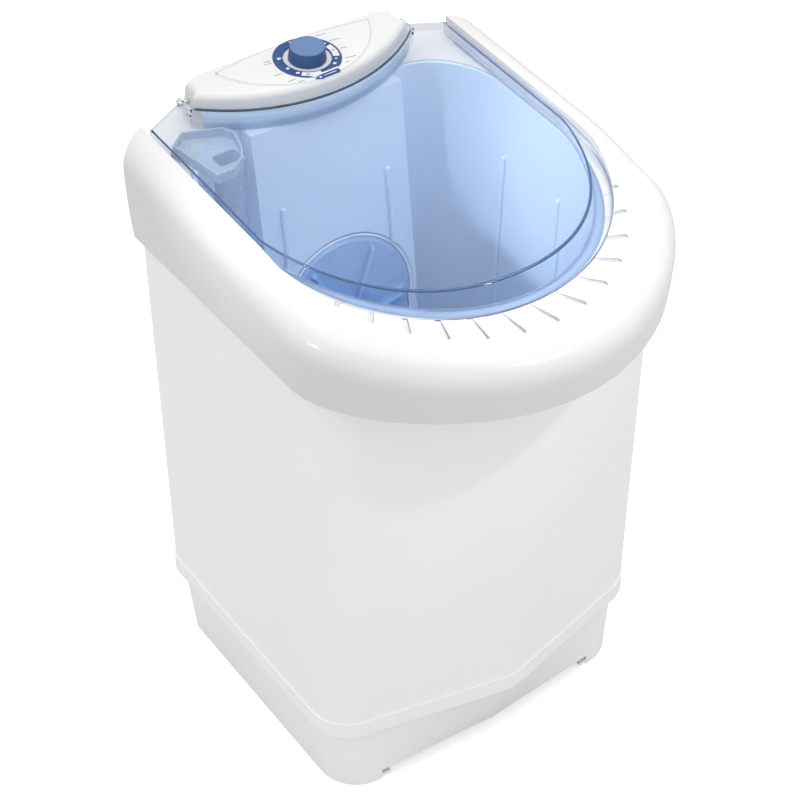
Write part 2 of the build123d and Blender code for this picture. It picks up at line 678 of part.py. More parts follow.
def pulley(groove_radius, hub_radius, bore):
    """Grooved pulley about z, with its web and hub centred on z = 0."""
    half, groove_half = PULLEY_WIDTH / 2, BELT_WIDTH / 2 + BELT_GAP
    rim = groove_radius + PULLEY_RIM
    section = [(bore, -half), (hub_radius, -half), (hub_radius, -2)]
    inner = groove_radius - 5
    if inner > hub_radius + 4:
        section += [(inner, -2), (inner, -half)]
    section += [(rim, -half), (groove_radius, -groove_half), (groove_radius, groove_half), (rim, half)]
    if inner > hub_radius + 4:
        section += [(inner, half), (inner, 2)]
    section += [(hub_radius, 2), (hub_radius, half), (bore, half)]
    return revolve(Plane.XZ * make_face(Polyline(*section, close=True)), Axis.Z)


def make_driven_pulley():
    wheel = pulley(DRIVEN_GROOVE_RADIUS, DRIVEN_HUB_RADIUS, SHAFT_RADIUS + SEAT_GAP)
    hole_place = (DRIVEN_GROOVE_RADIUS - 5 + DRIVEN_HUB_RADIUS) / 2
    for index in range(DRIVEN_HOLES):
        wheel -= Rot(Z=360 / DRIVEN_HOLES * index) * Pos(hole_place, 0, 0) * Cylinder(11, PULLEY_WIDTH)
    return drive * Pos(0, 0, BELT_PLANE) * wheel


def make_pulley_nut():
    start = BELT_PLANE + PULLEY_WIDTH / 2
    return drive * hexagon_nut(10, SHAFT_RADIUS + SEAT_GAP, start, 5)


def make_motor_pulley():
    hub = MOTOR_GROOVE_RADIUS - 5
    wheel = pulley(MOTOR_GROOVE_RADIUS, hub, MOTOR_SHAFT_RADIUS + SEAT_GAP)
    return drive * Pos(0, SHAFT_SPACING, BELT_PLANE) * wheel


def belt_loop(grow):
    circles = [Circle(DRIVEN_GROOVE_RADIUS + grow), Pos(0, SHAFT_SPACING) * Circle(MOTOR_GROOVE_RADIUS + grow)]
    return make_hull(circles[0].edges() + circles[1].edges())


def make_drive_belt():
    start = BELT_PLANE - BELT_WIDTH / 2
    loop = prism(belt_loop(BELT_GAP + BELT_THICK), start, start + BELT_WIDTH)
    return drive * (loop - prism(belt_loop(BELT_GAP), start - 1, start + BELT_WIDTH + 1))


# Motor

def motor_place():
    return drive * Pos(0, SHAFT_SPACING, 0)


def make_motor_stator():
    return motor_place() * tube(MOTOR_RADIUS, ROTOR_RADIUS + AIR_GAP, MOTOR_START + BELL_LENGTH, MOTOR_END - BELL_LENGTH)


def end_bell():
    """Cup with a bearing boss. Its closed side is at z = 0."""
    bell = rod(MOTOR_RADIUS, 0, BELL_LENGTH)
    bell = fillet(bell.edges().sort_by(Axis.Z)[0], 4)
    bell -= rod(MOTOR_RADIUS - 6, BELL_WALL, BELL_LENGTH + 1)
    bell += rod(12, 0, BELL_LENGTH - 2)
    bell -= rod(MOTOR_SHAFT_RADIUS + SHAFT_GAP, -1, BELL_LENGTH)
    for index in range(8):
        bell -= Rot(Z=45 * index) * Pos(30, 0, 0) * Cylinder(6, 20)
    return bell


def make_motor_end_bells():
    front = Pos(0, 0, MOTOR_START) * end_bell()
    back = Pos(0, 0, MOTOR_END) * Rot(X=180) * end_bell()
    return [motor_place() * front, motor_place() * back]


def make_motor_rotor():
    stack = rod(ROTOR_RADIUS, MOTOR_START + BELL_LENGTH + 1, MOTOR_END - BELL_LENGTH - 1)
    shaft = rod(MOTOR_SHAFT_RADIUS, MOTOR_START + 1, BELT_PLANE + PULLEY_WIDTH / 2 + 2)
    return motor_place() * (stack + shaft)


def make_motor_bracket():
    """Square plate with turned-up side flanges, between the rubber mounts and the motor."""
    start = MOTOR_START - BRACKET_THICK
    plate = extrude(Pos(0, 0, start) * RectangleRounded(2 * BRACKET_HALF, 2 * BRACKET_HALF, 8), amount=BRACKET_THICK)
    plate -= rod(40, start - 1, MOTOR_START + 1)
    flange = Box(BRACKET_THICK, 2 * BRACKET_HALF - 30, 12, align=BASE)
    for side in (-1, 1):
        plate += Pos(side * (BRACKET_HALF - BRACKET_THICK / 2), 0, start) * flange
    for x, y in motor_mount_places():
        plate -= Pos(x, y - SHAFT_SPACING, 0) * rod(SMALL_SCREW[0] + SHAFT_GAP, start - 1, MOTOR_START + 1)
    return motor_place() * plate


def make_motor_mounts():
    start = TUB_WALL + MOTOR_BOSS_HEIGHT
    mount = tube(MOUNT_RADIUS, SMALL_SCREW[0] + SHAFT_GAP, start, start + MOUNT_HEIGHT)
    return [drive * Pos(x, y, 0) * mount for x, y in motor_mount_places()]


def make_motor_screws():
    length = MOTOR_START - 2
    one = Pos(0, 0, MOTOR_START) * Rot(X=180) * screw(SMALL_SCREW, length)
    return [drive * Pos(x, y, 0) * one for x, y in motor_mount_places()]


def make_capacitor():
    can = rod(CAPACITOR_RADIUS, TUB_WALL, TUB_WALL + CAPACITOR_LENGTH)
    can = fillet(can.edges().sort_by(Axis.Z)[-1], 3)
    for x in (-5, 5):
        can += Pos(x, 0, TUB_WALL + CAPACITOR_LENGTH) * Box(0.8, 6, 7, align=BASE)
    return drive * Pos(CAPACITOR_X, -CAPACITOR_RAISE, 0) * can


def make_capacitor_clamp():
    """Strap round the capacitor, with two feet on the drive wall."""
    inner = CAPACITOR_RADIUS + SHAFT_GAP
    outer = inner + CLAMP_THICK
    strap = tube(outer, inner, TUB_WALL, TUB_WALL + CLAMP_WIDTH)
    foot = Box(14, 12, CLAMP_THICK, align=(Align.MIN, Align.CENTER, Align.MIN))
    foot = Pos(outer - 1, 0, TUB_WALL) * foot
    foot -= rod(inner, 0, 30)
    strap += foot
    strap += Rot(Z=-90) * foot
    return drive * Pos(CAPACITOR_X, -CAPACITOR_RAISE, 0) * strap


# Drain

def make_drain_sump():
    """Cup under the tub floor, with a flange and a level outlet to the back."""
    top = TUB_FLOOR_Z - TUB_WALL
    cup = tube(SUMP_RADIUS + SUMP_FLANGE, SUMP_RADIUS - 1, top - BODY_WALL, top)
    cup += rod(SUMP_RADIUS, top - SUMP_DEPTH, top)
    outlet = Pos(0, 0, DRAIN_Z) * Rot(X=-90) * rod(DRAIN_RADIUS, 0, SOCKET_END_Y - SUMP_Y)
    cup += outlet
    cup -= rod(SUMP_RADIUS - SUMP_WALL, top - SUMP_DEPTH + SUMP_WALL, top + 1)
    cup -= Pos(0, 0, DRAIN_Z) * Rot(X=-90) * rod(DRAIN_RADIUS - DRAIN_WALL, 0, SOCKET_END_Y - SUMP_Y + 1)
    return Pos(0, SUMP_Y, 0) * cup


def make_drain_pipe():
    """Straight pipe from the sump outlet to the spigot on the back."""
    inner = DRAIN_RADIUS + SHAFT_GAP
    start = SUMP_Y + SUMP_RADIUS + 4
    pipe = tube(inner + DRAIN_WALL, inner, start, DRAIN_END_Y)
    return Pos(0, 0, DRAIN_Z) * Rot(X=-90) * pipe


def make_drain_grommet():
    """Rubber ring round the pipe, with a groove for the cabinet wall."""
    inner = DRAIN_RADIUS + SHAFT_GAP + DRAIN_WALL + SEAT_GAP
    hole = DRAIN_RADIUS + DRAIN_WALL + 3 - SHAFT_GAP
    front = CABINET_BACK_Y - BODY_WALL
    ring = tube(hole, inner, front - 2, CABINET_BACK_Y + 2)
    ring += tube(hole + 3, inner, front - 2.5, front - SEAT_GAP)
    ring += tube(hole + 3, inner, CABINET_BACK_Y + SEAT_GAP, CABINET_BACK_Y + 2.5)
    return Pos(0, 0, DRAIN_Z) * Rot(X=-90) * ring


def make_lint_grille():
    """Perforated disc on the tub floor, with a ring that centres it in the drain hole."""
    hole = SUMP_RADIUS - SUMP_WALL
    disc = rod(hole + 5, TUB_FLOOR_Z, TUB_FLOOR_Z + GRILLE_THICK)
    disc = chamfer(disc.edges().sort_by(Axis.Z)[-1], 0.8)
    disc += tube(hole - FIT_GAP, hole - FIT_GAP - 1.5, TUB_FLOOR_Z - TUB_WALL, TUB_FLOOR_Z + 0.5)
    for ring in (1, 2):
        count = 6 * ring
        for index in range(count):
            place = Rot(Z=360 / count * index) * Pos(GRILLE_PITCH * ring, 0, TUB_FLOOR_Z)
            disc -= place * Cylinder(GRILLE_HOLE, 10)
    return Pos(0, SUMP_Y, 0) * disc


# Rear cover

def make_rear_cover():
    """Flat cover over the service opening, with downward louvres."""
    outside = CABINET_BACK_Y + COVER_THICK
    middle = (COVER_TOP + COVER_BOTTOM) / 2
    width, height = 2 * (COVER_HALF + COVER_LAP), COVER_TOP - COVER_BOTTOM + 2 * COVER_LAP
    plate = Pos(0, outside, middle) * Rot(X=90) * extrude(RectangleRounded(width, height, 8), amount=COVER_THICK)
    for index in range(LOUVRE_COUNT):
        z = LOUVRE_BOTTOM + LOUVRE_PITCH * index
        section = Polyline((outside - 0.5, z + LOUVRE_HEIGHT), (outside + LOUVRE_DEPTH, z), (outside + LOUVRE_DEPTH - 1.4, z),
                           (outside - 0.5, z + LOUVRE_HEIGHT - 3), close=True)
        plate += extrude(Plane.YZ * make_face(section), amount=LOUVRE_HALF, both=True)
        plate -= Pos(0, outside, z + 2) * Box(2 * LOUVRE_HALF - 4, 2 * COVER_THICK + 0.1, 4)
    for place in cover_screw_places():
        plate -= place * screw_hole(SMALL_SCREW, COVER_THICK + 1)
    plate -= Pos(GLAND_X, outside, GLAND_Z) * Rot(X=90) * Cylinder(GLAND_RADIUS + SHAFT_GAP, 20)
    return plate


def make_rear_cover_screws():
    return [place * screw(SMALL_SCREW, 8) for place in cover_screw_places()]


def make_cable_gland():
    """Flanged bush in the rear cover, where the mains lead comes out."""
    outside = CABINET_BACK_Y + COVER_THICK
    bush = tube(GLAND_RADIUS, GLAND_BORE, -3, COVER_THICK + 5)
    bush += tube(GLAND_RADIUS + 3, GLAND_BORE, -2.5, 0)
    bush += tube(GLAND_RADIUS + 2, GLAND_BORE, COVER_THICK + SEAT_GAP, COVER_THICK + 2)
    return Pos(GLAND_X, outside, GLAND_Z) * Rot(X=90) * bush


# Lid

def lid_plan(grow=0.0, back=LID_SIDE_BACK):
    """Plan of the lid's flat top."""
    return lid_outline(LID_HALF + grow, LID_NOSE - grow, 0.834, 11.7, back)


def lid_foot_plan(grow=0.0, back=LID_SIDE_BACK):
    """Plan of the foot of the skirt."""
    return lid_outline(LID_HALF + LID_FLARE + grow, LID_FOOT_NOSE - grow, RIM_PULL, RIM_REACH, back)


def lid_outline(half, nose, pull, reach, back):
    side = (half, LID_SIDE_FRONT)
    right = [
        Bezier((0, nose), (pull * half, nose), (half, LID_SIDE_FRONT - reach), side),
        Line(side, (half, back)),
    ]
    return make_face(both_sides(right) + [Line((half, back), (-half, back))])


def lid_flange_plan():
    radius = RECESS_RADIUS - LID_GAP
    half = LID_FLANGE_HALF
    side = RECESS_CENTRE_Y - sqrt(radius**2 - half**2)
    front = ThreePointArc((-half, side), (0, RECESS_CENTRE_Y - radius), (half, side))
    back = LID_FLANGE_BACK
    return make_face([front] + Polyline((half, side), (half, back), (-half, back), (-half, side)).edges())


def lid_lug():
    """Upright plate on the right ear of the lid. It carries the up-stand back to the hinge pin."""
    low, top = LID_HEIGHT - LID_WALL, HINGE_W + LUG_RADIUS
    plate = make_face(Polyline((LUG_FRONT, low), (HINGE_V, low), (HINGE_V, top), (LUG_FRONT, top), close=True))
    profile = plate + Pos(HINGE_V, HINGE_W) * Circle(LUG_RADIUS) - Pos(HINGE_V, HINGE_W) * Circle(PIN_RADIUS + SHAFT_GAP)
    return Pos(LUG_START, 0, 0) * extrude(Plane.YZ * profile, amount=LUG_THICK)


def make_lid():
    """Clear lid: flat top, flared skirt, outward flange, up-stand round the control housing and two hinge ears."""
    bottom = LID_GAP
    outer = loft([Pos(0, 0, bottom) * lid_foot_plan(), Pos(0, 0, LID_HEIGHT) * lid_plan()])
    outer = fillet([edge for edge in outer.faces().sort_by(Axis.Z)[-1].edges() if edge.center().Y < LID_SIDE_BACK - 1], 2)
    far_back = LID_SIDE_BACK + 5
    inner = loft([Pos(0, 0, bottom - 1) * lid_foot_plan(-LID_WALL, far_back),
                  Pos(0, 0, LID_HEIGHT - LID_WALL) * lid_plan(-LID_WALL, far_back)])
    lid = outer
    lid += prism(lid_flange_plan(), bottom, bottom + LID_FLANGE_THICK)
    lid -= inner
    arc_radius = PANEL_RADIUS + PANEL_GAP
    centre = Pos(0, PANEL_CENTRE, 0)
    wall = centre * tube(arc_radius + LID_WALL, arc_radius, LID_HEIGHT - LID_WALL, LID_HEIGHT + UPSTAND_HEIGHT)
    wall &= Pos(0, 170, 0) * Box(2 * PANEL_TIP + 3, 2 * (LID_SIDE_BACK - 170), 90)
    lid += wall
    lid -= centre * rod(arc_radius, 0, 60)
    tip = LID_SIDE_BACK - 3
    ear_back = LID_SIDE_BACK + (LID_HALF - EAR_INNER) * BACK_SLOPE
    ear = Polyline((LID_HALF, tip), (LID_HALF, LID_SIDE_BACK), (EAR_INNER, ear_back), (EAR_INNER, ear_back - 10),
                   (PANEL_TIP + 3, tip), close=True)
    ear = prism(make_face(ear), LID_HEIGHT - LID_WALL, LID_HEIGHT) + lid_lug()
    lid += ear
    lid += ear.mirror(Plane.YZ)
    return deck * lid


# Control housing

def panel_plan(height, inset=0.0, back_inset=0.0):
    """Plan of the control housing at a height above the deck. Its front and sides lean inwards."""
    grow = PANEL_LEAN * (PANEL_LEAN_FROM - height) - inset
    radius, tip, side = PANEL_RADIUS + grow, PANEL_TIP + grow, PANEL_SIDE + grow
    tip_v = PANEL_CENTRE - sqrt(radius**2 - tip**2)
    back = PANEL_BACK - back_inset
    front = ThreePointArc((-tip, tip_v), (0, PANEL_CENTRE - radius), (tip, tip_v))
    right = [(tip, tip_v), (side, PANEL_SIDE_FRONT), (side, PANEL_SIDE_BACK), (side - 13, back)]
    left = [(-x, v) for x, v in reversed(right)]
    return make_face([front] + Polyline(*right, *left).edges())


def under_crown(radius):
    return Pos(0, 200, PANEL_TOP - CROWN_RADIUS) * Rot(X=90) * Cylinder(radius, 200)


def panel_screw_places():
    places = [(side * x, v) for side in (-1, 1) for x, v in PANEL_BOSSES]
    return [deck * Pos(x, v, -COLLAR_WALL) for x, v in places]


def pin_place(start):
    return Pos(start, HINGE_V, HINGE_W) * Rot(Y=90)


def panel_body(grow=0.0):
    """Outside of the control housing, or a thin layer over it."""
    high = PANEL_TOP + 4
    body = loft([panel_plan(0, -grow), Pos(0, 0, high) * panel_plan(high, -grow)]) & under_crown(CROWN_RADIUS + grow)
    return fillet(body.faces().sort_by(Axis.Z)[-1].edges(), PANEL_EDGE + grow)


def make_panel_housing():
    high = PANEL_TOP + 4
    body = panel_body()
    wall = PANEL_WALL
    hollow = loft([Pos(0, 0, -1) * panel_plan(-1, wall, wall), Pos(0, 0, high) * panel_plan(high, wall, wall)])
    body -= hollow & under_crown(CROWN_RADIUS - wall)
    seat = PANEL_TOP - TIMER_SEAT
    body += Pos(0, DIAL_V, 0) * rod(TIMER_RADIUS + 1, seat, PANEL_TOP - 1)
    body -= Pos(0, DIAL_V, 0) * rod(7, 0, PANEL_TOP + 5)
    body -= Pos(0, DIAL_V, 0) * rod(DIAL_RADIUS + 0.2, PANEL_TOP - DIAL_SINK, PANEL_TOP + 5)
    pin_wall = PANEL_SIDE + PANEL_LEAN * (PANEL_LEAN_FROM - HINGE_W)
    boss = pin_place(pin_wall - PIN_INSIDE) * rod(6, 0, PIN_INSIDE - 1)
    hole = pin_place(pin_wall - PIN_INSIDE) * rod(PIN_RADIUS + SEAT_GAP, 0, PIN_INSIDE + 5)
    for x, v in PANEL_BOSSES:
        for side in (-1, 1):
            body += Pos(side * x, v, 0) * rod(5, 0, PANEL_TOP - 3)
            body -= Pos(side * x, v, -1) * rod(SMALL_SCREW[0] + SHAFT_GAP, 0, 13)
    body += boss
    body += boss.mirror(Plane.YZ)
    body -= hole
    body -= hole.mirror(Plane.YZ)
    return deck * body


def make_panel_screws():
    return [place * screw(SMALL_SCREW, COLLAR_WALL + 10) for place in panel_screw_places()]


def make_hinge_pins():
    pin_wall = PANEL_SIDE + PANEL_LEAN * (PANEL_LEAN_FROM - HINGE_W)
    end = LUG_START + LUG_THICK + 1.5
    pin = pin_place(pin_wall - PIN_INSIDE) * rod(PIN_RADIUS, 0, end - pin_wall + PIN_INSIDE)
    return [deck * pin, deck * pin.mirror(Plane.YZ)]


def make_panel_overlay():
    """Thin leaf-shaped sheet on the crown of the housing, with an opening for the dial."""
    tip_right, tip_left = (LEAF_TIP_X, LEAF_TIP_V), (-LEAF_TIP_X, LEAF_TIP_V)
    leaf = make_face([ThreePointArc(tip_left, (0, LEAF_FRONT), tip_right), ThreePointArc(tip_right, (0, LEAF_BACK), tip_left)])
    sheet = (panel_body(OVERLAY_THICK) & prism(leaf, PANEL_TOP - 10, PANEL_TOP + 10)) - panel_body()
    return deck * (sheet - Pos(0, DIAL_V, 0) * rod(DIAL_RADIUS + 0.2, 0, PANEL_TOP + 10))


def make_dial_ring():
    start = PANEL_TOP - DIAL_SINK
    ring = tube(DIAL_RADIUS, DIAL_INNER, start, start + DIAL_THICK)
    return deck * Pos(0, DIAL_V, 0) * ring


def make_timer_knob():
    """Slightly conical knob with a dimple near the back edge of its top."""
    start = PANEL_TOP - DIAL_SINK + KNOB_GAP
    knob = Pos(0, 0, start) * Cone(KNOB_RADIUS, KNOB_TOP_RADIUS, KNOB_HEIGHT, align=BASE)
    knob = fillet(knob.edges().sort_by(Axis.Z)[-1], 1.6)
    top = start + KNOB_HEIGHT
    knob -= Pos(0, KNOB_TOP_RADIUS - DIMPLE_INSET, top + DIMPLE_RADIUS / 2) * Sphere(DIMPLE_RADIUS)
    knob -= rod(TIMER_SHAFT_RADIUS + SEAT_GAP, start - 1, top - 4)
    return deck * Pos(0, DIAL_V, 0) * knob


def make_timer_shaft():
    start = PANEL_TOP - DIAL_SINK + KNOB_GAP
    return deck * Pos(0, DIAL_V, 0) * rod(TIMER_SHAFT_RADIUS, PANEL_TOP - TIMER_SEAT - 12, start + KNOB_HEIGHT - 4.5)


def make_timer():
    """Spring-wound timer can under the top of the housing, with its terminals."""
    seat = PANEL_TOP - TIMER_SEAT
    can = rod(TIMER_RADIUS, seat - TIMER_DEPTH, seat)
    can = fillet(can.edges().sort_by(Axis.Z)[0], 2)
    can -= rod(TIMER_SHAFT_RADIUS + SHAFT_GAP, seat - 13, seat + 1)
    for x in (-12, -4, 4, 12):
        can += Pos(x, 12, seat - TIMER_DEPTH - 5) * Box(0.8, 5, 6, align=BASE)
    return deck * Pos(0, DIAL_V, 0) * can


# Dispenser cup

def make_dispenser_cup():
    """Eight-sided tray on the deck corner, with a chute that drops into the tub."""
    outline = make_face(Polyline(*CUP_OUTLINE, close=True))
    outline -= Pos(0, PANEL_CENTRE) * Circle(PANEL_RADIUS + CUP_PANEL_GAP)
    tray = prism(outline, 0, CUP_HEIGHT) - prism(offset(outline, -CUP_WALL), CUP_WALL, CUP_HEIGHT + 1)
    top, bottom = RectangleRounded(*CHUTE_TOP, 6), RectangleRounded(*CHUTE_BOTTOM, 4)
    outer = loft([Pos(0, 0, -CHUTE_LENGTH) * bottom, Pos(0, 0, CUP_WALL) * top])
    top, bottom = offset(top, -CUP_WALL), offset(bottom, -CUP_WALL)
    inner = loft([Pos(0, 0, -CHUTE_LENGTH - 1) * bottom, Pos(0, 0, CUP_WALL + 1) * top])
    place = Pos(CHUTE_X, CHUTE_V, 0)
    return deck * (tray + place * outer - place * inner)


PARTS = {
    "cabinet": make_cabinet,
    "base": make_base,
    "feet": make_feet,
    "base_screws": make_base_screws,
    "collar": make_collar,
    "tub": make_tub,
    "tub_screws": make_tub_screws,
    "impeller": make_impeller,
    "impeller_shaft": make_impeller_shaft,
    "bearing_housing": make_bearing_housing,
    "bearing_nut": make_bearing_nut,
    "bushes": make_bushes,
    "shaft_seal": make_shaft_seal,
    "driven_pulley": make_driven_pulley,
    "pulley_nut": make_pulley_nut,
    "drive_belt": make_drive_belt,
    "motor_pulley": make_motor_pulley,
    "motor_stator": make_motor_stator,
    "motor_end_bells": make_motor_end_bells,
    "motor_rotor": make_motor_rotor,
    "motor_bracket": make_motor_bracket,
    "motor_mounts": make_motor_mounts,
    "motor_screws": make_motor_screws,
    "capacitor": make_capacitor,
    "capacitor_clamp": make_capacitor_clamp,
    "drain_sump": make_drain_sump,
    "drain_pipe": make_drain_pipe,
    "drain_grommet": make_drain_grommet,
    "lint_grille": make_lint_grille,
    "rear_cover": make_rear_cover,
    "rear_cover_screws": make_rear_cover_screws,
    "cable_gland": make_cable_gland,
    "lid": make_lid,
    "panel_housing": make_panel_housing,
    "panel_screws": make_panel_screws,
    "hinge_pins": make_hinge_pins,
    "panel_overlay": make_panel_overlay,
    "dial_ring": make_dial_ring,
    "timer_knob": make_timer_knob,
    "timer_shaft": make_timer_shaft,
    "timer": make_timer,
    "dispenser_cup": make_dispenser_cup,
}

os.makedirs("parts", exist_ok=True)
for name, make in PARTS.items():
    solids = make()
    shape = Compound(children=solids) if isinstance(solids, list) else solids
    export_step(shape, f"parts/{name}.step")
    print(name, shape.is_valid, round(shape.volume))
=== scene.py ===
import math

import bmesh
import bpy
import numpy as np
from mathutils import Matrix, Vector


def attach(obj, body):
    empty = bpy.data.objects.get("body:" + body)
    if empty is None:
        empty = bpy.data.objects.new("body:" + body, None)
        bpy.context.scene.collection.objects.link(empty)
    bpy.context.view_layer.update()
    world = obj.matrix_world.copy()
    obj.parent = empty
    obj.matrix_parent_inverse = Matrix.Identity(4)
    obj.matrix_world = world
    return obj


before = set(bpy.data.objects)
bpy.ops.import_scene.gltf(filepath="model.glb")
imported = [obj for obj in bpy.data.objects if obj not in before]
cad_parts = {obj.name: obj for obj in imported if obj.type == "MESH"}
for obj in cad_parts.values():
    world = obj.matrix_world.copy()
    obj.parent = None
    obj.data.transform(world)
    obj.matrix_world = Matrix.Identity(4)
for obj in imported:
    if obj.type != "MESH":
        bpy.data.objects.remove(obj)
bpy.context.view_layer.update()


# Base and feet
# The plinth is one white polypropylene moulding, with a lip for the cabinet and a tapering skirt.
# It is injection moulded in a finely etched tool, and a rubber pad is pushed into each corner.

def feed(links, value, socket):
    """Feeds a shader input with another node's output, or with a number or a colour."""
    if isinstance(value, bpy.types.NodeSocket):
        links.new(value, socket)
    else:
        socket.default_value = value


def mottle(nodes, links, place, scale, detail):
    """Cloudy variation over the given coordinates. The scale is a number or a socket."""
    texture = nodes.new("ShaderNodeTexNoise")
    texture.inputs["Detail"].default_value = detail
    links.new(place, texture.inputs["Vector"])
    feed(links, scale, texture.inputs["Scale"])
    return texture.outputs["Fac"]


def stretch(nodes, links, value, low, high, new_low, new_high):
    """Maps a value from one range to another. The ends are numbers or sockets."""
    remap = nodes.new("ShaderNodeMapRange")
    for socket, end in (("Value", value), ("From Min", low), ("From Max", high),
                        ("To Min", new_low), ("To Max", new_high)):
        feed(links, end, remap.inputs[socket])
    return remap.outputs["Result"]


def blend(nodes, links, share, first, second):
    """Blend of two colours, all of the first at a share of nought and all of the second at one."""
    mix = nodes.new("ShaderNodeMix")
    mix.data_type = "RGBA"
    links.new(share, mix.inputs["Factor"])
    feed(links, first, mix.inputs["A"])
    feed(links, second, mix.inputs["B"])
    return mix.outputs["Result"]


def relief(nodes, links, height, strength, distance):
    """Normal of a surface raised by a height from nought to one, over a distance in metres."""
    bump = nodes.new("ShaderNodeBump")
    bump.inputs["Distance"].default_value = distance
    links.new(height, bump.inputs["Height"])
    links.new(strength, bump.inputs["Strength"])
    return bump.outputs["Normal"]


def finish_group(name, inputs):
    """New shader group for a finish: named inputs, and its colour, roughness and normal."""
    group = bpy.data.node_groups.new(name, "ShaderNodeTree")
    for socket, value in inputs.items():
        kind = "NodeSocketColor" if isinstance(value, tuple) else "NodeSocketFloat"
        group.interface.new_socket(socket, in_out="INPUT", socket_type=kind).default_value = value
    for socket, kind in (("Colour", "NodeSocketColor"), ("Roughness", "NodeSocketFloat"),
                         ("Normal", "NodeSocketVector")):
        group.interface.new_socket(socket, in_out="OUTPUT", socket_type=kind)
    source, result = group.nodes.new("NodeGroupInput"), group.nodes.new("NodeGroupOutput")
    return group, source.outputs, result.inputs


def moulded_skin_group():
    """Skin of a moulding: a drift between two shades, uneven gloss and a fine etched grain."""
    group, source, result = finish_group("moulded_skin", {
        "Colour": (0.8, 0.8, 0.8, 1), "Shade": (0.7, 0.7, 0.7, 1), "Drift Scale": 5.0,
        "Gloss Low": 0.25, "Gloss High": 0.35, "Grain Scale": 1500.0, "Grain Depth": 0.05})
    nodes, links = group.nodes, group.links
    place = nodes.new("ShaderNodeTexCoord").outputs["Object"]
    drift = mottle(nodes, links, place, source["Drift Scale"], 2.0)
    share = stretch(nodes, links, drift, 0.35, 0.65, 0.0, 1.0)
    uneven = mottle(nodes, links, place, 32.0, 3.0)
    gloss = stretch(nodes, links, uneven, 0.3, 0.7, source["Gloss Low"], source["Gloss High"])
    grain = mottle(nodes, links, place, source["Grain Scale"], 3.0)
    links.new(blend(nodes, links, share, source["Colour"], source["Shade"]), result["Colour"])
    links.new(gloss, result["Roughness"])
    links.new(relief(nodes, links, grain, source["Grain Depth"], 0.0002), result["Normal"])
    return group


moulded_skin = moulded_skin_group()


def finished(name, group, values, **sockets):
    """Material whose colour, roughness and normal come from a finish with these values. Further
    sockets of the Principled BSDF are given by name, with low lines for their spaces."""
    material = bpy.data.materials.new(name)
    material.use_nodes = True
    nodes, links = material.node_tree.nodes, material.node_tree.links
    surface = nodes["Principled BSDF"]
    finish = nodes.new("ShaderNodeGroup")
    finish.node_tree = group
    for socket, value in values.items():
        finish.inputs[socket].default_value = value
    for output, socket in (("Colour", "Base Color"), ("Roughness", "Roughness"),
                           ("Normal", "Normal")):
        links.new(finish.outputs[output], surface.inputs[socket])
    for socket, value in sockets.items():
        surface.inputs[socket.replace("_", " ")].default_value = value
    return material


def plastic(name, colour, shade, gloss, grain=(1500.0, 0.05), drift=5.0, **sockets):
    """Moulded plastic: two shades, a range of roughness, the scale and depth of the etched grain,
    and the scale at which one shade drifts into the other."""
    values = {"Colour": (*colour, 1), "Shade": (*shade, 1), "Drift Scale": drift,
              "Gloss Low": gloss[0], "Gloss High": gloss[1],
              "Grain Scale": grain[0], "Grain Depth": grain[1]}
    return finished(name, moulded_skin, values, **sockets)


def dress(material, *names):
    """Gives CAD nodes their material."""
    for name in names:
        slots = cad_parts[name].data.materials
        slots.clear()
        slots.append(material)


base_white = plastic("base_white", colour=(0.92, 0.925, 0.93), shade=(0.90, 0.905, 0.91),
                     gloss=(0.34, 0.44), grain=(1400.0, 0.10))
pad_rubber = plastic("pad_rubber", colour=(0.10, 0.10, 0.11), shade=(0.07, 0.07, 0.08),
                     gloss=(0.62, 0.78), grain=(900.0, 0.35), drift=40.0)
dress(base_white, "base")
dress(pad_rubber, "feet", "motor_mounts", "drain_grommet", "shaft_seal")


# Cabinet, rear cover and lead gland
# The tall shell is one white moulding with a bowed front, drawn over the base and into the collar.
# A flat cover with louvres closes its back, held by screws, and the gland in it takes the lead.

cabinet_white = plastic("cabinet_white", colour=(0.91, 0.915, 0.92), shade=(0.90, 0.905, 0.91),
                        gloss=(0.30, 0.38), grain=(1600.0, 0.06))
cover_white = plastic("cover_white", colour=(0.74, 0.75, 0.76), shade=(0.70, 0.71, 0.73),
                      gloss=(0.42, 0.52), grain=(1100.0, 0.16))
gland_black = plastic("gland_black", colour=(0.02, 0.02, 0.022), shade=(0.03, 0.03, 0.033),
                      gloss=(0.40, 0.55), grain=(1200.0, 0.18), drift=60.0)
dress(cabinet_white, "cabinet")
dress(cover_white, "rear_cover")
dress(gland_black, "cable_gland", "driven_pulley", "bearing_nut", "timer")


# Screws, shafts and rotor
# Bright turned and rolled steel: pan-head screws, the two shafts, hinge pins and pulley nut.
# Turning leaves fine rings and a slight haze on the metal.

def turned_metal_group():
    """Turned metal: fine rings that are also a little rougher, and a slow change of tone."""
    group, source, result = finish_group("turned_metal", {
        "Colour": (0.6, 0.6, 0.62, 1), "Haze": (0.5, 0.5, 0.52, 1), "Ring Scale": 900.0,
        "Gloss": 0.25, "Depth": 0.1})
    nodes, links = group.nodes, group.links
    place = nodes.new("ShaderNodeTexCoord").outputs["Object"]
    rings = mottle(nodes, links, place, source["Ring Scale"], 2.0)
    tone = mottle(nodes, links, place, 60.0, 3.0)
    rougher = nodes.new("ShaderNodeMath")
    rougher.operation = "MULTIPLY_ADD"
    for socket, value in zip(rougher.inputs, (rings, 0.15, source["Gloss"])):
        feed(links, value, socket)
    links.new(blend(nodes, links, tone, source["Colour"], source["Haze"]), result["Colour"])
    links.new(rougher.outputs["Value"], result["Roughness"])
    links.new(relief(nodes, links, rings, source["Depth"], 0.0001), result["Normal"])
    return group


turned_metal = turned_metal_group()


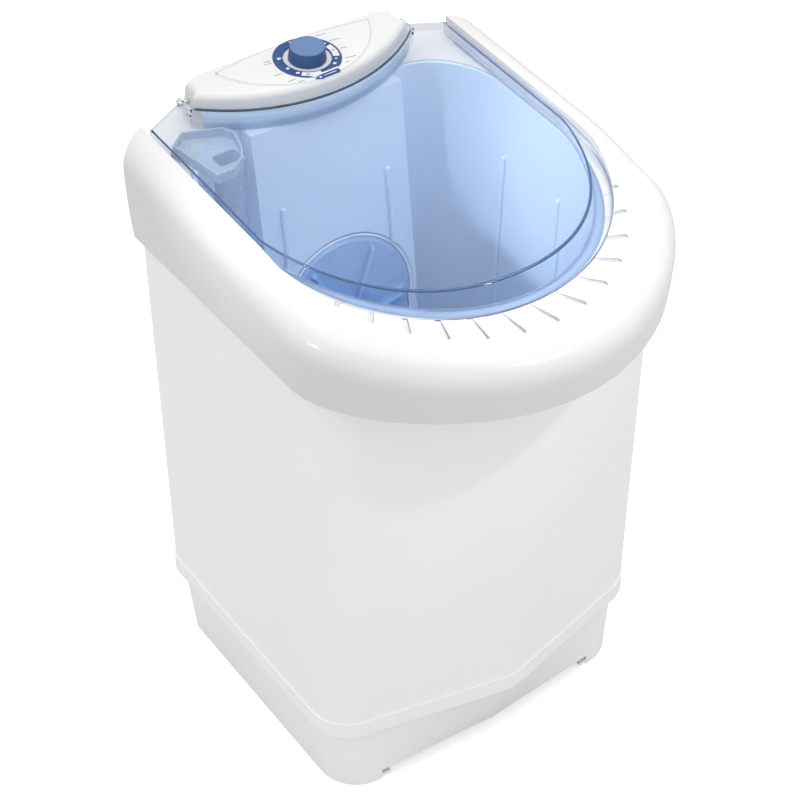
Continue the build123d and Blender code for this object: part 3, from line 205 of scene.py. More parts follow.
def metal(name, colour, haze, gloss, depth):
    """Turned or cast metal: its colour and haze, its least roughness and its rings' depth."""
    values = {"Colour": (*colour, 1), "Haze": (*haze, 1), "Gloss": gloss, "Depth": depth}
    return finished(name, turned_metal, values, Metallic=1.0)


bright_steel = metal("bright_steel", colour=(0.62, 0.63, 0.65), haze=(0.50, 0.51, 0.54),
                     gloss=0.22, depth=0.1)
dress(bright_steel, "impeller_shaft", "motor_rotor", "hinge_pins", "tub_screws", "base_screws",
      "motor_screws", "rear_cover_screws", "panel_screws", "pulley_nut", "timer_shaft")


# Motor, capacitor and belt
# A small fan-cooled induction motor: a grey painted stator between two cast aluminium end bells.
# It hangs on a steel bracket, drives the impeller by a rubber belt and starts on the capacitor.

cast_aluminium = metal("cast_aluminium", colour=(0.70, 0.71, 0.72), haze=(0.58, 0.59, 0.61),
                       gloss=0.38, depth=0.3)
stator_paint = plastic("stator_paint", colour=(0.11, 0.115, 0.12), shade=(0.09, 0.095, 0.10),
                       gloss=(0.35, 0.5), grain=(700.0, 0.3), drift=30.0)
belt_rubber = plastic("belt_rubber", colour=(0.02, 0.02, 0.02), shade=(0.035, 0.035, 0.035),
                      gloss=(0.6, 0.8), grain=(800.0, 0.3), drift=50.0)
sintered_bronze = metal("sintered_bronze", colour=(0.45, 0.30, 0.14), haze=(0.36, 0.23, 0.10),
                        gloss=0.35, depth=0.3)
housing_grey = plastic("housing_grey", colour=(0.27, 0.29, 0.32), shade=(0.23, 0.25, 0.28),
                       gloss=(0.4, 0.52), grain=(1000.0, 0.2), drift=25.0)
dress(cast_aluminium, "motor_end_bells", "motor_pulley", "capacitor")
dress(stator_paint, "motor_stator", "motor_bracket")
dress(belt_rubber, "drive_belt")
dress(sintered_bronze, "bushes")
dress(housing_grey, "bearing_housing", "drain_sump", "drain_pipe", "lint_grille",
      "capacitor_clamp")


# Tub and impeller
# The tub is one deep moulding of light-blue polypropylene, with a slanted wall for the drive.
# The impeller is a darker blue disc with vanes, keyed to its shaft in a dish of that wall, and the
# dish ends in a round lip that catches the light. The lip is also coloured a lighter blue than the
# tub, a painted highlight.

tub_blue = plastic("tub_blue", colour=(0.59, 0.725, 0.88), shade=(0.57, 0.705, 0.87),
                   gloss=(0.28, 0.36), drift=6.0)
impeller_blue = plastic("impeller_blue", colour=(0.24, 0.40, 0.66), shade=(0.22, 0.38, 0.64),
                        gloss=(0.24, 0.32), drift=12.0)
# Painted highlight: the lip is a lighter blue than the tub's own plastic.
lip_highlight_blue = plastic("lip_highlight_blue", colour=(0.66, 0.80, 0.96), shade=(0.63, 0.78, 0.95),
                   gloss=(0.24, 0.32), drift=12.0)
dress(tub_blue, "tub")
dress(impeller_blue, "impeller")

DRIVE_ANGLE = math.atan(0.12)
DRIVE_Y, DRIVE_Z = 136.7, 403.0
LIP_RADIUS, LIP_THICK, LIP_DEPTH = 81.55, 1.3, 1.5
WELD = 1e-7


def skin(name, grids, material, body):
    """Piece made of grids of points, each with a quad between every four neighbours. Points that
    coincide at seams and poles are merged, and then the faces of a closed shape are turned
    outwards and those of a flat print upwards."""
    points, quads, start = [], [], 0
    for grid in grids:
        rows, columns = grid.shape[:2]
        index = start + np.arange(rows * columns).reshape(rows, columns)
        corners = (index[:-1, :-1], index[1:, :-1], index[1:, 1:], index[:-1, 1:])
        quads.append(np.stack(corners, axis=-1).reshape(-1, 4))
        points.append(grid.reshape(-1, 3))
        start += rows * columns
    mesh = bpy.data.meshes.new(name)
    mesh.from_pydata(np.concatenate(points).tolist(), [], np.concatenate(quads).tolist())
    form = bmesh.new()
    form.from_mesh(mesh)
    bmesh.ops.remove_doubles(form, verts=form.verts[:], dist=WELD)
    if not any(edge.is_boundary for edge in form.edges):
        bmesh.ops.recalc_face_normals(form, faces=form.faces[:])
    elif sum(face.normal.z * face.calc_area() for face in form.faces) < 0.0:
        bmesh.ops.reverse_faces(form, faces=form.faces[:])
    form.to_mesh(mesh)
    form.free()
    mesh.materials.append(material)
    mesh.shade_smooth()
    piece = bpy.data.objects.new(name, mesh)
    bpy.context.scene.collection.objects.link(piece)
    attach(piece, body)
    return piece


def dish_lip():
    """Round lip of the dish, a ring about the impeller's axis: its radius is R + r cos b, and it
    lies d + r sin b behind the wall's plane, for b once round the lip's own section."""
    around = np.linspace(0.0, 2.0 * math.pi, 145)[:, None]
    across = np.linspace(0.0, 2.0 * math.pi, 13)[None, :]
    radius = LIP_RADIUS + LIP_THICK * np.cos(across)
    deep = LIP_DEPTH + LIP_THICK * np.sin(across)
    height = -radius * np.sin(around)
    level, tilt = math.cos(DRIVE_ANGLE), math.sin(DRIVE_ANGLE)
    return np.stack((radius * np.cos(around), DRIVE_Y - height * tilt + deep * level,
                     DRIVE_Z - height * level - deep * tilt), axis=-1) / 1000.0


skin("dish_lip", [dish_lip()], lip_highlight_blue, "machine")


# Collar
# The thick glossy ring that closes the cabinet and carries the lid, moulded hollow and polished.
# Thirteen slanting grooves cross its front band, and a soft shadow is painted in each as grey
# strokes, along one side and at the outer end.

collar_white = plastic("collar_white", colour=(0.69, 0.69, 0.69), shade=(0.68, 0.68, 0.68),
                       gloss=(0.16, 0.22), grain=(1800.0, 0.02),
                       Coat_Weight=0.25, Coat_Roughness=0.08)
# Grey of the painted shadow in the grooves.
groove_shadow_paint = plastic("groove_shadow_paint", colour=(0.30, 0.30, 0.31), shade=(0.38, 0.38, 0.39),
                      gloss=(0.30, 0.40), grain=(1600.0, 0.05), drift=40.0)
dress(collar_white, "collar")

GROOVE_COUNT, GROOVE_PITCH, GROOVE_CENTRE_Y = 13, 11.65, -29.3
GROOVE_OUTER, GROOVE_SWIRL = 168.9, math.radians(22.5)
ABOVE_COLLAR = 650.0
END_SHADOW = ((-1.5, 1.0), (1.6, 1.0), 1.3)
SIDE_SHADOW = ((1.75, 0.8), (1.75, 22.0), 0.75)
SHADOW_LIFT, SHADOW_DROP = 0.05, 0.09


def stroke(start, end, width, along, across):
    """Plan of a straight stroke: points evenly spaced from its start to its end, in rows from
    half its width on one side to half its width on the other."""
    start = np.array(start, dtype=float)
    run = np.array(end, dtype=float) - start
    sideways = np.array((-run[1], run[0])) / np.hypot(*run) * width / 2.0
    return (start + np.linspace(0.0, 1.0, along)[None, :, None] * run
            + np.linspace(-1.0, 1.0, across)[:, None, None] * sideways)


def turned(x, y, angle):
    """A plan turned about its origin: x cos a - y sin a and x sin a + y cos a."""
    return x * np.cos(angle) - y * np.sin(angle), x * np.sin(angle) + y * np.cos(angle)


def groove_strokes(start, end, width):
    """One stroke of painted shadow in each groove, in the groove's own plan (across it, and
    inwards from its outer end). The plan is turned by the swirl, moved out by the groove's radius
    and turned to its place, a pitch from the next."""
    local = stroke(start, end, width, 24, 4)
    x, y = turned(local[..., 0], local[..., 1], GROOVE_SWIRL)
    steps = np.arange(GROOVE_COUNT) - (GROOVE_COUNT - 1) / 2.0
    x, y = turned(x, y - GROOVE_OUTER, np.radians(GROOVE_PITCH * steps)[:, None, None])
    place = np.stack((x, y + GROOVE_CENTRE_Y, np.full(x.shape, ABOVE_COLLAR)), axis=-1)
    return list(place / 1000.0)


def lay_on(piece, target, lift, drop):
    """Lays a thin piece on a CAD node straight below it, a lift in millimetres above its surface
    and at most a drop in metres away."""
    wrap = piece.modifiers.new("laid_on", "SHRINKWRAP")
    wrap.wrap_method = "PROJECT"
    wrap.use_project_z = True
    wrap.use_negative_direction = True
    wrap.use_positive_direction = True
    wrap.project_limit = drop
    wrap.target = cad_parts[target]
    wrap.offset = lift / 1000.0


# Painted shadow: grey strokes laid into the grooves, along one side and at the outer end.
shadows = groove_strokes(*END_SHADOW) + groove_strokes(*SIDE_SHADOW)
groove_shadows = skin("groove_shadows", shadows, groove_shadow_paint, "machine")
lay_on(groove_shadows, "collar", SHADOW_LIFT, SHADOW_DROP)


# Dispenser cup
# An eight-sided tray of cloudy clear polypropylene stands on the left back corner of the deck.
# It is moulded in one piece with the chute that leads the powder into the tub.

def let_light_through(material, passed):
    """Lets a share of the room's light straight through a thin clear or cloudy wall."""
    nodes, links = material.node_tree.nodes, material.node_tree.links
    rays = nodes.new("ShaderNodeLightPath").outputs
    indirect = nodes.new("ShaderNodeMath")
    indirect.operation = "MAXIMUM"
    links.new(rays["Is Shadow Ray"], indirect.inputs[0])
    links.new(rays["Is Diffuse Ray"], indirect.inputs[1])
    opaque = stretch(nodes, links, indirect.outputs["Value"], 0.0, 1.0, 1.0, 1.0 - passed)
    links.new(opaque, nodes["Principled BSDF"].inputs["Alpha"])


cup_cloudy = plastic("cup_cloudy", colour=(0.42, 0.54, 0.68), shade=(0.46, 0.58, 0.72),
                     gloss=(0.22, 0.30), grain=(1500.0, 0.03), drift=18.0,
                     Transmission_Weight=0.45, IOR=1.15)
let_light_through(cup_cloudy, 0.75)
dress(cup_cloudy, "dispenser_cup")


# Lid
# One clear blue-tinted moulding: a flat top, a flared skirt with a flange in the collar's recess
# and an up-stand round the panel. It swings on two steel pins at the back of the deck.

def clear_plastic(name, absorbed, density, roughness, passed):
    """Clear moulded plastic: a transmitting surface round a volume that takes up some colours
    more than others."""
    material = bpy.data.materials.new(name)
    material.use_nodes = True
    nodes, links = material.node_tree.nodes, material.node_tree.links
    surface = nodes["Principled BSDF"]
    for socket, value in (("Base Color", (1.0, 1.0, 1.0, 1.0)), ("Roughness", roughness),
                          ("IOR", 1.45), ("Transmission Weight", 1.0)):
        surface.inputs[socket].default_value = value
    let_light_through(material, passed)
    volume = nodes.new("ShaderNodeVolumeAbsorption")
    volume.inputs["Color"].default_value = (*absorbed, 1)
    volume.inputs["Density"].default_value = density
    links.new(volume.outputs["Volume"], nodes["Material Output"].inputs["Volume"])
    return material


lid_clear = clear_plastic("lid_clear", absorbed=(0.25, 0.52, 0.94), density=30.0, roughness=0.02,
                          passed=0.98)
dress(lid_clear, "lid")

DECK_ANGLE, DECK_Z = math.atan(0.073), 620.0
LID_TOP = 16.46
LID_HALF, LID_NOSE, LID_SIDE_FRONT, LID_SIDE_BACK = 172.4, -143.6, 17.8, 207.2
FOOT_HALF, FOOT_NOSE = 174.4, -159.5
FLANGE_RADIUS, FLANGE_CENTRE, FLANGE_HALF = 181.1, 12.6, 177.5
UPSTAND_RADIUS, UPSTAND_CENTRE, UPSTAND_TOP, UPSTAND_HALF = 191.45, 348.1, 24.96, 127.0


def on_deck(x, v, w):
    """Millimetres in the tilted frame of the deck to metres in the world: the frame is turned
    about x by the deck's angle and raised by the deck's height."""
    x, v, w = np.broadcast_arrays(x, v, w)
    tilt, level = math.sin(DECK_ANGLE), math.cos(DECK_ANGLE)
    return np.stack((x, v * level - w * tilt, DECK_Z + v * tilt + w * level), axis=-1) / 1000.0


def lid_outline(half, nose, pull, reach, back, inset=0.0):
    """Plan of the lid from its left back corner round the front to the right one, moved inwards
    by the inset. The front is a cubic curve from the nose to the start of the straight side,
    four points weighted by (1-t)^3, 3(1-t)^2 t, 3(1-t) t^2 and t^3."""
    half, nose = half - inset, nose + inset
    t = np.linspace(0.0, 1.0, 60)[:, None]
    points = np.array(((0.0, nose), (pull * half, nose), (half, LID_SIDE_FRONT - reach),
                       (half, LID_SIDE_FRONT)))
    front = ((1 - t) ** 3 * points[0] + 3 * (1 - t) ** 2 * t * points[1]
             + 3 * (1 - t) * t ** 2 * points[2] + t ** 3 * points[3])
    side = np.stack((np.full(40, half), np.linspace(LID_SIDE_FRONT, back, 41)[1:]), axis=-1)
    right = np.concatenate((front, side))
    return np.concatenate((right[:0:-1] * (-1, 1), right))


# Blue band round the lid's foot
# A narrow blue band, in the tub's plastic, edges the collar's opening along the lid's skirt.
# It lies flat in the collar's recess and shows under the skirt's foot and in front of it.

RIM_BACK, RIM_LOW, RIM_HIGH = 190.0, 0.08, 0.32


def closed_ends(shape):
    """A tube of four sides with a flat cap at each end, made of the section's four corners."""
    caps = [np.stack((shape[end, :2], shape[end, 3:1:-1]), axis=0) for end in (0, -1)]
    return [shape] + caps


def band(inner, outer, low, high):
    """Flat band between two plans with as many points each: inner and outer edge, both high, and
    then outer and inner edge, both low."""
    edges = ((inner, high), (outer, high), (outer, low), (inner, low), (inner, high))
    shape = np.stack([on_deck(plan[:, 0], plan[:, 1], w) for plan, w in edges], axis=1)
    return closed_ends(shape)


rim_blue = plastic("rim_blue", colour=(0.25, 0.37, 0.56), shade=(0.28, 0.40, 0.59),
                   gloss=(0.30, 0.38), drift=6.0)
rim_inner = lid_outline(170.2, -157.2, 0.66, 45.0, RIM_BACK)
rim_outer = lid_outline(172.6, -166.6, 0.74, 60.0, RIM_BACK)
skin("tub_rim_flange", band(rim_inner, rim_outer, RIM_LOW, RIM_HIGH), rim_blue, "machine")


# Edges of the lid
# The clear wall is thick at its edges, and light that runs along inside it comes out there.
# So the top, the up-stand, the skirt's foot and the flange are each drawn by a thin tinted line,
# a painted line of that light and of the edge's shade.

BEAD_SIDES = 12


def bead(path, radius):
    """Round bead: at each point of the path a circle across it, radius (side cos a + up sin a),
    where side is the path's direction crossed with the deck's normal. The radius falls to
    nothing at both ends."""
    ahead = np.gradient(path, axis=0)
    ahead /= np.linalg.norm(ahead, axis=1, keepdims=True)
    normal = on_deck(0.0, 0.0, 1.0) - on_deck(0.0, 0.0, 0.0)
    side = np.cross(ahead, normal / np.linalg.norm(normal))
    side /= np.linalg.norm(side, axis=1, keepdims=True)
    up = np.cross(side, ahead)
    turn = np.linspace(0.0, 2.0 * math.pi, BEAD_SIDES + 1)[None, :, None]
    thick = (np.broadcast_to(radius, len(path)) / 1000.0).copy()
    thick[[0, -1]] = 0.0
    ring = side[:, None] * np.cos(turn) + up[:, None] * np.sin(turn)
    return path[:, None] + thick[:, None, None] * ring


def arc(radius, centre, half):
    """Arc in front of (0, centre), between x = -half and half: v = centre - sqrt(r^2 - x^2)."""
    x = np.linspace(-half, half, 90)
    return np.stack((x, centre - np.sqrt(radius ** 2 - x ** 2)), axis=-1)


def painted_edge_tint(name, colour, shade, gloss):
    """Painted tint of the light and shade seen at an edge."""
    return plastic(name, colour, shade, gloss, grain=(1500.0, 0.02), drift=14.0)


def lid_edge(name, plan, w, radius, material):
    """Painted line along an edge of the lid: a bead on a plan at a height above the deck."""
    skin(name, [bead(on_deck(plan[:, 0], plan[:, 1], w), radius)], material, "lid")


edge_blue = painted_edge_tint("edge_blue", colour=(0.025, 0.080, 0.210), shade=(0.035, 0.095, 0.235),
                       gloss=(0.24, 0.32))
upstand_dark = painted_edge_tint("upstand_dark", colour=(0.020, 0.035, 0.075),
                          shade=(0.028, 0.045, 0.090), gloss=(0.24, 0.32))
foot_blue = painted_edge_tint("foot_blue", colour=(0.24, 0.38, 0.62), shade=(0.28, 0.42, 0.66),
                       gloss=(0.20, 0.28))
rim_violet = painted_edge_tint("rim_violet", colour=(0.26, 0.28, 0.46), shade=(0.30, 0.33, 0.50),
                        gloss=(0.20, 0.28))

# Painted edges: dark and blue tinted beads drawn along the clear lid's edges.
top_line = lid_outline(LID_HALF, LID_NOSE, 0.834, 11.7, LID_SIDE_BACK - 3.0, inset=1.3)
thickening = np.clip((60.0 - top_line[:, 1]) / 200.0, 0.0, 1.0)
lid_edge("lid_top_edge", top_line, LID_TOP - 1.45, 0.60 + 0.75 * thickening, edge_blue)
upstand_line = arc(UPSTAND_RADIUS, UPSTAND_CENTRE, UPSTAND_HALF)
lid_edge("lid_upstand_edge", upstand_line, UPSTAND_TOP - 0.95, 0.9, upstand_dark)
foot_line = lid_outline(FOOT_HALF, FOOT_NOSE, 0.66, 45.0, LID_SIDE_BACK - 3.0, inset=1.2)
lid_edge("lid_foot_edge", foot_line, 1.6, 0.5, foot_blue)
flange_line = arc(FLANGE_RADIUS - 0.5, FLANGE_CENTRE, FLANGE_HALF - 0.5)
lid_edge("lid_flange_edge", flange_line, 2.0, 0.4, rim_violet)


# Control panel
# A white crowned housing carries a printed sheet, a dark-blue dial ring and a blue timer knob.
# The housing's front, behind the lid's up-stand, is covered by a pale blue strip: painted shade,
# the blue tint that the lid's up-stand lays over the white front.

panel_white = plastic("panel_white", colour=(0.70, 0.70, 0.70), shade=(0.69, 0.69, 0.69),
                      gloss=(0.28, 0.34), grain=(1600.0, 0.04))
overlay_white = plastic("overlay_white", colour=(0.70, 0.702, 0.706), shade=(0.69, 0.692, 0.696),
                        gloss=(0.38, 0.44), grain=(2200.0, 0.04))
dial_navy = plastic("dial_navy", colour=(0.022, 0.070, 0.20), shade=(0.028, 0.080, 0.22),
                    gloss=(0.42, 0.50), grain=(2000.0, 0.05), drift=30.0, Specular_IOR_Level=0.2)
upstand_tint_paint = plastic("upstand_tint_paint", colour=(0.60, 0.73, 0.86), shade=(0.64, 0.77, 0.89),
                     gloss=(0.26, 0.34), grain=(1500.0, 0.03), drift=9.0)
dress(panel_white, "panel_housing")
dress(overlay_white, "panel_overlay")
dress(dial_navy, "dial_ring")

PANEL_CENTRE, PANEL_RADIUS, PANEL_LEAN, PANEL_LEAN_FROM = 348.1, 188.0, 0.14, 22.0
STRIP_TIP, STRIP_FOOT, STRIP_TOP, STRIP_GAP, STRIP_THICK = 119.0, 0.4, 23.6, 0.08, 0.45


def front_strip():
    """Strip of painted tint on the front of the housing: at a height w the arc of radius R + lean
    (h - w), closed by the same arc a strip's thickness in front of it."""
    x = np.linspace(-STRIP_TIP, STRIP_TIP, 90)[:, None]
    height = np.array((STRIP_FOOT, STRIP_TOP, STRIP_TOP, STRIP_FOOT, STRIP_FOOT))[None, :]
    proud = STRIP_GAP + STRIP_THICK * np.array((0, 0, 1, 1, 0))[None, :]
    radius = PANEL_RADIUS + PANEL_LEAN * (PANEL_LEAN_FROM - height) + proud
    return closed_ends(on_deck(x, PANEL_CENTRE - np.sqrt(radius ** 2 - x ** 2), height))


# Painted shade: the strip's blue stands in for the lid's tinted up-stand seen over the front.
skin("front_strip", front_strip(), upstand_tint_paint, "machine")


# Timer knob
# A slightly conical cap of blue plastic with a dimple near its back edge, pressed on the shaft.
# The photograph shows its side darker than its top, and that shade is painted: the blue darkens
# from the top's to the side's as the surface turns from facing up.

KNOB_TOP, KNOB_TOP_SHADE = (0.085, 0.175, 0.37), (0.080, 0.165, 0.355)
KNOB_SIDE, KNOB_SIDE_SHADE = (0.030, 0.085, 0.22), (0.026, 0.076, 0.20)

knob_blue = plastic("knob_blue", colour=KNOB_TOP, shade=KNOB_TOP_SHADE, gloss=(0.34, 0.42),
                    grain=(2200.0, 0.06), drift=40.0)
knob_nodes, knob_links = knob_blue.node_tree.nodes, knob_blue.node_tree.links
# Painted shade: the blue darkens as the surface turns from facing up to facing sideways.
upward = knob_nodes.new("ShaderNodeSeparateXYZ")
surface_normal = knob_nodes.new("ShaderNodeNewGeometry").outputs["Normal"]
knob_links.new(surface_normal, upward.inputs["Vector"])
lit_top_share = stretch(knob_nodes, knob_links, upward.outputs["Z"], 0.45, 0.80, 0.0, 1.0)
for socket, side, top in (("Colour", KNOB_SIDE, KNOB_TOP),
                          ("Shade", KNOB_SIDE_SHADE, KNOB_TOP_SHADE)):
    painted_side_shade = blend(knob_nodes, knob_links, lit_top_share, (*side, 1), (*top, 1))
    knob_links.new(painted_side_shade, knob_nodes["Group"].inputs[socket])
dress(knob_blue, "timer_knob")


# Marks on the dial ring
# The ring is screen printed in white: windows for the two cycles, and small round marks for the
# programmes. Two grey marks are printed over the windows.

def ink(name, colour, shade, gloss=(0.40, 0.48), **sockets):
    """Screen-printing ink, a thin matt film."""
    return plastic(name, colour, shade, gloss, grain=(2400.0, 0.03), drift=60.0, **sockets)


print_white = ink("print_white", colour=(0.72, 0.73, 0.76), shade=(0.70, 0.71, 0.74))
print_grey = ink("print_grey", colour=(0.10, 0.11, 0.13), shade=(0.14, 0.15, 0.17))

DIAL_V, RING_TOP, RING_RADIUS = 200.9, 39.5, 33.7
INK, INK_DROP = 0.06, 0.006


def around_dial(radius, angle):
    """Point about the dial's centre at an angle a from the right: r cos a, r sin a to the back."""
    angle = np.radians(angle)
    return radius * np.cos(angle), DIAL_V + radius * np.sin(angle)


def sector(inner, outer, start, end):
    """Sector of a ring: radius and angle run evenly between their two ends."""
    radius = np.linspace(outer, inner, 5)[:, None]
    x, v = around_dial(radius, np.linspace(start, end, 24)[None, :])
    return on_deck(x, v, RING_TOP + INK)


def ellipse(x, v, wide, deep, steps):
    """Filled ellipse about a point, with its half sizes: x + wide s cos a, v + deep s sin a."""
    share = np.linspace(0.0, 1.0, 4)[:, None]
    turn = np.linspace(0.0, 2.0 * math.pi, steps + 1)[None, :]
    return x + wide * share * np.cos(turn), v + deep * share * np.sin(turn)


def mark(radius, angle, wide, deep, lobes, depth):
    """Mark on the ring: an ellipse with its half sizes waved by 1 + depth cos(lobes a)."""
    turn = np.linspace(0.0, 2.0 * math.pi, 25)[None, :]
    wave = 1.0 + depth * np.cos(lobes * turn)
    x, v = around_dial(radius, angle)
    return on_deck(*ellipse(x, v, wide * wave, deep * wave, 24), RING_TOP + INK)


def print_on(piece, target):
    """Lays a printed piece on the surface under it, with the ink's thickness between them."""
    lay_on(piece, target, INK, INK_DROP)


windows = [sector(25.2, 31.6, 12.0, -27.0), sector(25.4, 31.4, -94.0, -134.0)]
print_on(skin("dial_windows", windows, print_white, "machine"), "dial_ring")

# Each mark has its radius, its angle, its half width and its lobes.
MARKS = ((27.6, 154, 2.1, 3), (27.2, -167, 1.9, 4), (28.0, -142, 2.0, 5), (29.6, 21, 1.2, 3),
         (28.0, -36, 1.3, 4), (28.2, -53, 1.9, 5), (30.0, 91, 1.1, 3))
icons = [mark(radius, angle, wide, 0.8 * wide, lobes, 0.22)
         for radius, angle, wide, lobes in MARKS]
print_on(skin("dial_icons", icons, print_white, "machine"), "dial_ring")

glyphs = [mark(28.5, -6, 1.7, 0.9, 4, 0.3), mark(28.4, -122, 1.8, 1.1, 3, 0.3)]
print_on(skin("window_glyphs", glyphs, print_grey, "machine"), "dial_ring")


# Printed sheet
# A leaf-shaped sheet lies on the housing, screen printed before it was cut and glued on.
# It carries ten short grey lines round the dial and a pale line along its edge.

CAPTION_WIDTH = 1.0
CAPTIONS = (((27.5, 227.2), (38.0, 226.3)), ((34.6, 213.4), (45.2, 212.0)),
            ((35.8, 197.3), (43.0, 195.6)), ((30.8, 181.2), (42.3, 179.0)),
            ((26.8, 174.8), (31.6, 174.3)), ((-40.7, 215.9), (-34.0, 214.8)),
            ((-41.6, 212.3), (-33.8, 211.1)), ((-43.0, 191.9), (-34.6, 191.4)),
            ((-37.3, 176.8), (-28.7, 177.0)), ((-29.4, 171.5), (-23.2, 170.6)))
DASHES = ((0.0, 0.22), (0.28, 0.47), (0.53, 0.76), (0.82, 1.0))

captions = []
for start, end in np.array(CAPTIONS):
    run = end - start
    for low, high in DASHES:
        dash = stroke(start + run * low, start + run * high, CAPTION_WIDTH, 3, 3)
        captions.append(on_deck(dash[..., 0], dash[..., 1], RING_TOP + INK))
print_on(skin("captions", captions, print_grey, "machine"), "panel_overlay")

LEAF_TIP, LEAF_TIP_V, LEAF_FRONT, LEAF_BACK, LEAF_LINE = 88.6, 226.0, 165.0, 233.4, 0.45


def leaf_line():
    """Outline of the leaf: two arcs through its tips, each a strip between two radii. An arc that
    rises by h over half a chord c has the radius (c^2 + h^2) / 2h."""
    strips = []
    for middle, bow in ((LEAF_FRONT, -1), (LEAF_BACK, 1)):
        rise = bow * (middle - LEAF_TIP_V)
        radius = (LEAF_TIP ** 2 + rise ** 2) / (2.0 * rise)
        x = np.linspace(-LEAF_TIP, LEAF_TIP, 120)[None, :]
        edges = radius + bow * np.array((LEAF_LINE, 0.0, -LEAF_LINE))[:, None] / 2.0
        v = middle - bow * radius + bow * np.sqrt(np.maximum(edges ** 2 - x ** 2, 0.0))
        strips.append(on_deck(x, v, RING_TOP + INK))
    return strips


print_pale = ink("print_pale", colour=(0.30, 0.31, 0.34), shade=(0.36, 0.37, 0.40))
print_on(skin("leaf_line", leaf_line(), print_pale, "machine"), "panel_overlay")


# Start bar
# The ring's front is printed white below a chord, and a long dark-blue bar lies across its edge.
# The bar runs down on to the sheet and carries a white dot and a white line.

SHEET_TOP, FRONT_RADIUS, FRONT_ROUND = 39.25, 187.2, 7.4
SLANT_X, SLANT_V = 0.67, 0.945
PRINT_SLOPE, FOOT_CHORD, FOOT_LEFT, FOOT_RIGHT = 0.035, 172.0, -17.6, 18.4
BAR_LEFT, BAR_RIGHT, BAR_HALF, BAR_MIDDLE = -14.0, 15.6, 3.3, 166.6
FOOT_LIFT, BAR_LIFT, MARK_LIFT = 1.5 * INK, 3.5 * INK, 5.0 * INK


def print_height(x, v):
    """Height of what lies under the ink: the ring's flat top out to its radius, and outside it
    the sheet, which falls off over the housing's rounded front edge by R - sqrt(R^2 - s^2) at s
    past the start of the rounding."""
    past = np.hypot(x, PANEL_CENTRE - v) - (FRONT_RADIUS - FRONT_ROUND)
    past = np.clip(past, 0.0, FRONT_ROUND - 0.3)
    sheet = SHEET_TOP - FRONT_ROUND + np.sqrt(FRONT_ROUND ** 2 - past ** 2)
    return np.where(np.hypot(x, v - DIAL_V) < RING_RADIUS, RING_TOP, sheet)


def settle(x, v, lift):
    """Lowers printed points from the ring's plane on to what lies under them. They slant to the
    right and the back by fixed shares of the way down, so the height is found in a few rounds."""
    x, v = np.broadcast_arrays(x, v)
    low_x, low_v = x, v
    for _ in range(8):
        down = RING_TOP - print_height(low_x, low_v)
        low_x, low_v = x + SLANT_X * down, v + SLANT_V * down
    return on_deck(low_x, low_v, print_height(low_x, low_v) + lift)


def ring_foot():
    """White foot of the ring: from the chord v = c + slope x down to the ring's edge, which is
    v = centre - sqrt(r^2 - x^2)."""
    x = np.linspace(FOOT_LEFT, FOOT_RIGHT, 40)[None, :]
    edge = DIAL_V - np.sqrt((RING_RADIUS - 0.1) ** 2 - x ** 2)
    chord = np.maximum(FOOT_CHORD + PRINT_SLOPE * x, edge)
    v = edge + np.linspace(0.0, 1.0, 5)[:, None] * (chord - edge)
    return on_deck(x, v, RING_TOP + FOOT_LIFT)


def start_bar():
    """The bar: a middle line with a half height that falls as a circle's to the right end and
    evenly to the pointed left one."""
    x = np.linspace(BAR_LEFT, BAR_RIGHT, 40)[None, :]
    pointed = np.minimum((x - BAR_LEFT) / (2.0 * BAR_HALF), 1.0)
    past = ((x - (BAR_RIGHT - BAR_HALF)) / BAR_HALF).clip(0.0)
    rounded = np.sqrt(np.clip(1.0 - past ** 2, 0.0, 1.0))
    across = np.linspace(1.0, -1.0, 13)[:, None] * BAR_HALF * np.minimum(pointed, rounded)
    return settle(x, BAR_MIDDLE + PRINT_SLOPE * x + across, BAR_LIFT)


def bar_line(start, end, width):
    """Straight line on the bar: the same width to the front and back all along."""
    x = np.linspace(start[0], end[0], 14)[None, :]
    v = np.linspace(start[1], end[1], 14)[None, :] + np.linspace(0.5, -0.5, 4)[:, None] * width
    return settle(x, v, MARK_LIFT)


print_navy = ink("print_navy", colour=(0.022, 0.070, 0.20), shade=(0.028, 0.080, 0.22),
                 gloss=(0.42, 0.50), Specular_IOR_Level=0.2)
skin("ring_foot", [ring_foot()], print_white, "machine")
skin("start_bar", [start_bar()], print_navy, "machine")
bar_marks = [settle(*ellipse(-7.4, 166.4, 1.3, 1.2, 20), MARK_LIFT),
             bar_line((-2.6, 166.5), (11.2, 167.0), 0.8)]
skin("bar_marks", bar_marks, print_white, "machine")


# Camera
# It stands above the left front corner, where the photograph was taken from, with a long lens.
# Its place and lens were found together with the machine's outlines.

CAMERA_AZIMUTH = math.radians(-35.316)
CAMERA_ELEVATION = math.radians(40.818)
CAMERA_DISTANCE = 2.055295
CAMERA_TARGET = Vector((0.003111, 0.046296, 0.339643))
CAMERA_LENS, CAMERA_SENSOR = 89.505, 36.0

flat = math.cos(CAMERA_ELEVATION)
towards_camera = Vector((math.sin(CAMERA_AZIMUTH) * flat, -math.cos(CAMERA_AZIMUTH) * flat,
                         math.sin(CAMERA_ELEVATION)))
camera_data = bpy.data.cameras.new("camera")
camera_data.lens = CAMERA_LENS
camera_data.sensor_width = CAMERA_SENSOR
camera = bpy.data.objects.new("camera", camera_data)
camera.location = CAMERA_TARGET + towards_camera * CAMERA_DISTANCE
camera.rotation_mode = "QUATERNION"
camera.rotation_quaternion = (-towards_camera).to_track_quat("-Z", "Y")
bpy.context.scene.collection.objects.link(camera)
bpy.context.scene.camera = camera


# Studio
# A plain white floor in a bright, even room that is lighter above than at the sides.
# A large soft box hangs over the machine, and two narrow round lamps brighten the tub inside.

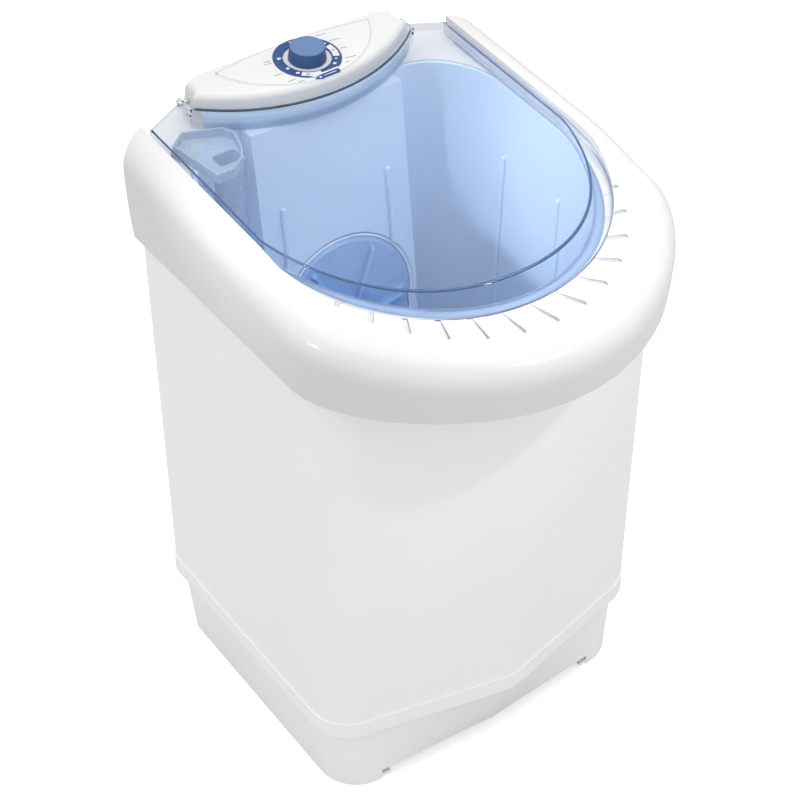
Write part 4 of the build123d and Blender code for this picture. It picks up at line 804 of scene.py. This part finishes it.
def hang(name, light, power, place, target):
    """Hangs a lamp of a power at a place and turns it to a target."""
    light.energy = power
    lamp = bpy.data.objects.new(name, light)
    lamp.location = place
    lamp.rotation_mode = "QUATERNION"
    lamp.rotation_quaternion = (Vector(target) - Vector(place)).to_track_quat("-Z", "Y")
    bpy.context.scene.collection.objects.link(lamp)


def snoot(name, cone, radius):
    """Round lamp with a narrow beam: its whole cone in degrees, and its own radius."""
    light = bpy.data.lights.new(name, "SPOT")
    light.spot_size = math.radians(cone)
    light.spot_blend = 0.35
    light.shadow_soft_size = radius
    return light


box_light = bpy.data.lights.new("top_box", "AREA")
box_light.shape = "RECTANGLE"
box_light.size = box_light.size_y = 2.0
hang("top_box", box_light, 10.0, place=(0.2, 0.3, 2.6), target=(0, 0, 0.5))
hang("wall_lamp", snoot("wall_lamp", 8.0, 0.09), 122.0,
     place=(-1.75, 0.00, 1.62), target=(0.165, 0.02, 0.56))
hang("tub_lamp", snoot("tub_lamp", 7.4, 0.12), 106.0,
     place=(0.7, -1.3, 2.5), target=(-0.02, 0.00, 0.45))

FLOOR_REACH, FLOOR_GLOW = 6.0, 0.6
floor_corners = np.array(((-1, -1, 0), (1, -1, 0), (1, 1, 0), (-1, 1, 0))) * FLOOR_REACH
floor_mesh = bpy.data.meshes.new("floor")
floor_mesh.from_pydata(floor_corners.tolist(), [], [(0, 1, 2, 3)])
floor = bpy.data.objects.new("floor", floor_mesh)
bpy.context.scene.collection.objects.link(floor)
floor_white = bpy.data.materials.new("floor_white")
floor_white.use_nodes = True
floor_nodes, floor_links = floor_white.node_tree.nodes, floor_white.node_tree.links
floor_surface = floor_nodes["Principled BSDF"]
floor_surface.inputs["Base Color"].default_value = (0.60, 0.60, 0.60, 1)
floor_surface.inputs["Roughness"].default_value = 0.9
floor_surface.inputs["Emission Color"].default_value = (1, 1, 1, 1)
seen = floor_nodes.new("ShaderNodeLightPath").outputs["Is Camera Ray"]
floor_glow = stretch(floor_nodes, floor_links, seen, 0.0, 1.0, 0.0, FLOOR_GLOW)
floor_links.new(floor_glow, floor_surface.inputs["Emission Strength"])
floor_mesh.materials.append(floor_white)

ROOM_BESIDE, ROOM_ABOVE = 0.84, 1.24
room = bpy.data.worlds.new("room")
room.use_nodes = True
room_nodes, room_links = room.node_tree.nodes, room.node_tree.links
height = room_nodes.new("ShaderNodeSeparateXYZ")
room_links.new(room_nodes.new("ShaderNodeTexCoord").outputs["Generated"], height.inputs["Vector"])
glow = stretch(room_nodes, room_links, height.outputs["Z"], 0.0, 1.0, ROOM_BESIDE, ROOM_ABOVE)
room_links.new(glow, room_nodes["Background"].inputs["Strength"])
room_nodes["Background"].inputs["Color"].default_value = (1, 1, 1, 1)
bpy.context.scene.world = room
bpy.context.scene.view_settings.view_transform = "Standard"
